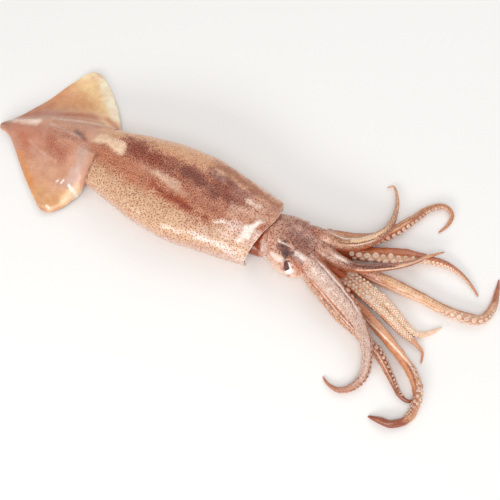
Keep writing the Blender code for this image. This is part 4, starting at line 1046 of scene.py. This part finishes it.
def headPlace(u, v):
    x = 88 + 72 * v
    middle, half, low, high = (readStations(head["stations"], x, c) for c in (1, 2, 3, 4))
    side, rise = np.cos(2 * np.pi * u), np.sin(2 * np.pi * u)
    y = middle + half * np.sign(side) * np.abs(side) ** 0.9
    z = (low + high) / 2 + (high - low) / 2 * np.sign(rise) * np.abs(rise) ** np.where(rise > 0, 0.86, 0.72)
    return np.column_stack([x, y, z])


def rootTube(name, line, look):
    start, end = 0.0, look["root"]

    def place(u, v):
        distance = start + (end - start) * v
        angle = 2 * np.pi * u
        reach = armOutline(look, distance, angle, line.length)
        reach = reach * (1.0 - 0.25 * easeBetween(end - armShape["tuck"] * 0.5, end, distance))
        reach += 0.1 * (1 - easeBetween(12, 32, distance))
        points, spoke = line.point(distance, angle, reach)
        points += spoke * (0.07 * ripple(points, 4.5, 21))[:, None] * (line.read(line.radius, distance))
        points[:, 2] = np.maximum(points[:, 2], 0.05)
        return points

    return closedSkin(name + "Root", armShape["around"], 60, place)


def eyeball(name, centre, radius):
    bm = bmesh.new()
    bmesh.ops.create_icosphere(bm, subdivisions=5, radius=radius * mm)
    bmesh.ops.translate(bm, verts=bm.verts, vec=Vector(centre) * mm)
    return newPiece(bm, name)


def fuse(name, parts, voxel):
    # one skin round everything in parts, a voxel fine
    bm = bmesh.new()
    for part in parts:
        bm.from_mesh(part.data)
        bpy.data.objects.remove(part, do_unlink=True)
    piece = newPiece(bm, name)
    remesh = piece.modifiers.new("fuse", "REMESH")
    remesh.mode = "VOXEL"
    remesh.voxel_size = voxel * mm
    evaluated = piece.evaluated_get(bpy.context.evaluated_depsgraph_get())
    fused = bpy.data.meshes.new_from_object(evaluated)
    piece.modifiers.remove(remesh)
    piece.data = fused
    fused.name = name
    return piece


def relax(piece, steps, wanted):
    bm = bmesh.new()
    bm.from_mesh(piece.data)
    chosen = [corner for corner in bm.verts if wanted(corner.co / mm)]
    for _ in range(steps):
        bmesh.ops.smooth_vert(bm, verts=chosen, factor=0.5, use_axis_x=True, use_axis_y=True, use_axis_z=True)
    bm.to_mesh(piece.data)
    bm.free()


def eyeFrame(side):
    # the middle of the eye's opening, which way it faces, and which way is up along the skin
    aim = np.array(head["looking"][side]) / np.linalg.norm(head["looking"][side])
    rising = np.array([-0.12, 0.0, 1.0]) - aim * (np.array([-0.12, 0.0, 1.0]) @ aim)
    return np.array(head["openings"][side], float), aim, rising / np.linalg.norm(rising)


def eyeReach(points, side):
    # places relative to the opening, forward and up along the skin, and 1 at the opening's edge
    opening, aim, rising = eyeFrame(side)
    forward = np.cross(rising, aim) * (1 if side == "right" else -1)
    gap = points - opening
    ahead, above = gap @ forward, gap @ rising
    near = np.linalg.norm(gap, axis=1) < 12
    return ahead, above, np.where(near, np.hypot(ahead / head["opening"][0], above / head["opening"][1]), 9.0)


def seamRoute():
    # along the groove between two arms that lie flush, on their outer side: places and thickness
    look = head["seam"]
    a, b = (armLines[name] for name in look["arms"])
    route = []
    for distance in np.linspace(look["first"], look["last"], 9):
        centre = a.read(a.centre, [distance])[0]
        nearest = np.linalg.norm(b.centre - centre, axis=1).argmin()
        between = b.centre[nearest] - centre
        outer = np.cross(a.read(a.along, [distance])[0], between)
        outer *= np.sign(outer[2]) / np.linalg.norm(outer)
        share = (distance - look["first"]) / (look["last"] - look["first"])
        size = look["radius"] * math.sin(math.pi * (0.25 + 0.68 * share))
        middle = centre + between / 2 + outer * ((a.read(a.radius, [distance])[0, 0] + b.radius[nearest]) / 2 - size)
        route.append((*middle, 2 * size))
    return route


def tubeAlong(name, route):
    line = ArmLine({"route": route})
    return closedSkin(name, 40, 60, lambda u, v: line.point(line.length * v, 2 * np.pi * u, np.ones(len(u)))[0])


def makeHead():
    parts = [closedSkin("headCore", 90, 90, headPlace)]
    parts += [eyeball("bulge" + side, centre, head["eyeRadius"]) for side, centre in head["eyes"].items()]
    parts.append(tubeAlong("funnelTube", head["funnel"]))
    parts.append(tubeAlong("crownCore", crown["route"]))
    parts.append(tubeAlong("rightSeam", seamRoute()))
    parts.append(tubeAlong("lowWeb", crown["web"]))
    parts += [rootTube(name, armLines[name], look) for name, look in arms.items()]
    piece = fuse("head", parts, head["voxel"])
    relax(piece, 7, lambda point: point.x < 152)
    relax(piece, 2, lambda point: point.x >= 146)

    points = corners(piece)
    relief = 0.25 * ripple(points, 7, 31) * (points[:, 0] < 150)
    for path, wide, height in head["folds"]:
        relief += height * bell(pathDistance(points, path), wide)
    for side in head["openings"]:
        edge = eyeReach(points, side)[2]
        relief -= 2.8 * (1 - easeBetween(0.75, 1.08, edge))
        relief += 0.5 * bell(edge - 1.25, 0.22)
    swell(piece, relief)

    points = corners(piece)
    x, y, z = points.T
    wander = ripple(points, 3.6, 32) + 0.5 * ripple(points, 1.4, 33)
    tone = blend(np.tile(linear(head["low"]), (len(x), 1)), linear(head["top"]),
                 easeBetween(11, 20, z + 1.5 * wander + 0.25 * (y + 4)))
    tone = blend(tone, linear(head["neck"]), 1 - easeBetween(108, 116, x))
    # deep orange-brown where the head lies inside the mantle's opening: partly the funnel's own colour, partly painted
    # shade in the gap between the mantle and the neck
    tone = blend(tone, linear(head["funnelAndRecessShade"]), 1 - easeBetween(106, 109.5, x + 0.8 * wander))
    mirrored = points.copy()        # the left side is marked like the right, but for what lies on top
    mirrored[:, 1] = np.where((y > 9) & (x < 140) & (z < 21), head["mirror"] - y, y)
    tone = brush(tone, mirrored, head["marks"], wander)
    spots = np.column_stack([np.full(len(x), 0.8), np.full(len(x), 0.75)])
    spots = brush(spots, mirrored, head["spotMarks"], wander)
    nearest, offs = np.full(len(x), 1e9), {}
    armTone, armDots = tone.copy(), spots.copy()
    for name, look in arms.items():
        reach = head["seam"]["last"] + 4 if name in head["seam"]["arms"] else look["root"] + 2
        distance, angle, off = locate(armLines[name], points, reach)
        offs[name] = off
        closer = off < nearest
        nearest = np.where(closer, off, nearest)
        newTone, newDots = armPaint(name, distance, angle, wander)
        armTone[closer], armDots[closer] = newTone[closer], newDots[closer]
    onArms = easeBetween(140, 152, x + 2 * wander)
    tone, spots = blend(tone, armTone, onArms), blend(spots, armDots, onArms)
    onSeam = 1 - easeBetween(4.6, 6.0, pathDistance(points, [row[:3] for row in seamRoute()]))
    between = easeBetween(0.3, 1.4, nearest) * easeBetween(143, 149, x) * (1 - onSeam)
    tone = blend(tone, linear(crown["tone"]), between)
    spots *= 1 - between[:, None]
    line = bell(offs[head["seam"]["arms"][0]] - offs[head["seam"]["arms"][1]], 0.9) * onSeam * onArms
    tone = blend(tone, linear(head["seam"]["tone"]), 0.85 * line)
    keepPaint(piece, tone, spots)
    return dress(piece, skinMaterial("headSkin", skinLike(
        lattice="solidSpots", fineCells=900.0, fineSpot=0.5, largeCells=600.0, largeSpot=0.4,
        fineDark=(0.42, 0.15, 0.11), largeDark=(0.24, 0.04, 0.02), bump=0.5)))


makeHead()
print("stage: head")


# ---------------------------------------------------------------- eyes

# the bright crescent colour is partly the eye's silver and partly a painted reflection; rim is the painted shadow of
# the eyelid over the eye's front and round its opening
eyes = {"radius": 8.2, "sink": 0.8, "pupil": (96, 42, 36), "silverAndReflection": (252, 250, 248), "rim": (116, 48, 26)}


def makeEye(side):
    opening, aim, rising = eyeFrame(side)
    piece = eyeball("eye" + side.capitalize(), opening - aim * (eyes["radius"] + eyes["sink"]), eyes["radius"])
    ahead, above, edge = eyeReach(corners(piece), side)
    # a dark pupil behind and above, a bright crescent before and below it, partly the eye's silver and partly a painted
    # reflection, and the eyelid's painted shadow over the front and round the opening's edge
    pupilEdge = 0.2 - 5.5 * (1 - easeBetween(-2.8, 0.4, above))
    lidShadowEdge = 2.5 - 0.6 * bell(above - 0.4, 1.8)
    tone = blend(np.tile(linear(eyes["silverAndReflection"]), (len(ahead), 1)), linear(eyes["pupil"]),
                 1 - easeBetween(-0.3, 0.3, ahead - pupilEdge))
    tone = blend(tone, linear(eyes["rim"]), easeBetween(-0.3, 0.3, ahead - lidShadowEdge))
    tone = blend(tone, linear(eyes["rim"]), easeBetween(0.97, 1.15, edge))
    keepPaint(piece, tone, np.zeros((len(ahead), 2)))
    look = skinLike(mottle=0.1, bump=0.05, roughness=0.5, coat=0.12, coatRoughness=0.1, depth=0.0)
    return dress(piece, skinMaterial("eyeGloss" + side.capitalize(), look))


for side in head["eyes"]:
    makeEye(side)
print("stage: eyes")


# ---------------------------------------------------------------- stage, light and camera

studio = {
    "floor": (0.93, 0.92, 0.91), "world": (1.0, 0.995, 0.985), "worldPower": 0.55,
    "camera": {"place": (0.2660, -0.3167, 0.7522), "aim": (0.0986, -0.0084, 0.0), "lens": 85},
    "lamps": {      # place, aim, width, height, power, colour
        "overhead": ((0.5, -0.9, 1.5), (0.05, 0, 0), 0.9, 0.9, 9.0, (1, 0.99, 0.97)),
        "front": ((0.15, -1.0, 0.45), (0.08, 0, 0.01), 0.9, 0.25, 6.0, (1, 0.98, 0.96)),
        "left": ((0.3, 1.0, 0.9), (0.1, 0, 0), 1.0, 0.7, 3.5, (1, 1, 1))},
}


def plainMaterial(name, colour, roughness):
    material = bpy.data.materials.new(name)
    material.use_nodes = True
    shader = material.node_tree.nodes["Principled BSDF"]
    shader.inputs["Base Color"].default_value = (*colour, 1)
    shader.inputs["Roughness"].default_value = roughness
    return material


def makeStage():
    bm = bmesh.new()
    bmesh.ops.create_grid(bm, x_segments=1, y_segments=1, size=4)
    floor = newPiece(bm, "floor")
    floor.data.materials.append(plainMaterial("paleFloor", studio["floor"], 0.9))
    world = bpy.data.worlds.new("softLight")
    world.use_nodes = True
    backdrop = world.node_tree.nodes["Background"]
    backdrop.inputs["Color"].default_value = (*studio["world"], 1)
    backdrop.inputs["Strength"].default_value = studio["worldPower"]
    bpy.context.scene.world = world
    for name, (place, aim, width, height, power, colour) in studio["lamps"].items():
        lamp = bpy.data.lights.new(name, "AREA")
        lamp.shape, lamp.size, lamp.size_y = "RECTANGLE", width, height
        lamp.energy, lamp.color = power, colour
        holder = bpy.data.objects.new(name, lamp)
        holder.location = place
        holder.rotation_euler = (Vector(aim) - Vector(place)).to_track_quat("-Z", "Y").to_euler()
        bpy.context.scene.collection.objects.link(holder)
    view = studio["camera"]
    camera = bpy.data.objects.new("camera", bpy.data.cameras.new("camera"))
    camera.data.lens = view["lens"]
    camera.location = view["place"]
    camera.rotation_euler = (Vector(view["aim"]) - Vector(view["place"])).to_track_quat("-Z", "Y").to_euler()
    bpy.context.scene.collection.objects.link(camera)
    bpy.context.scene.camera = camera
    bpy.context.scene.view_settings.view_transform = "Standard"


makeStage()
print("stage: floor, lights and camera")
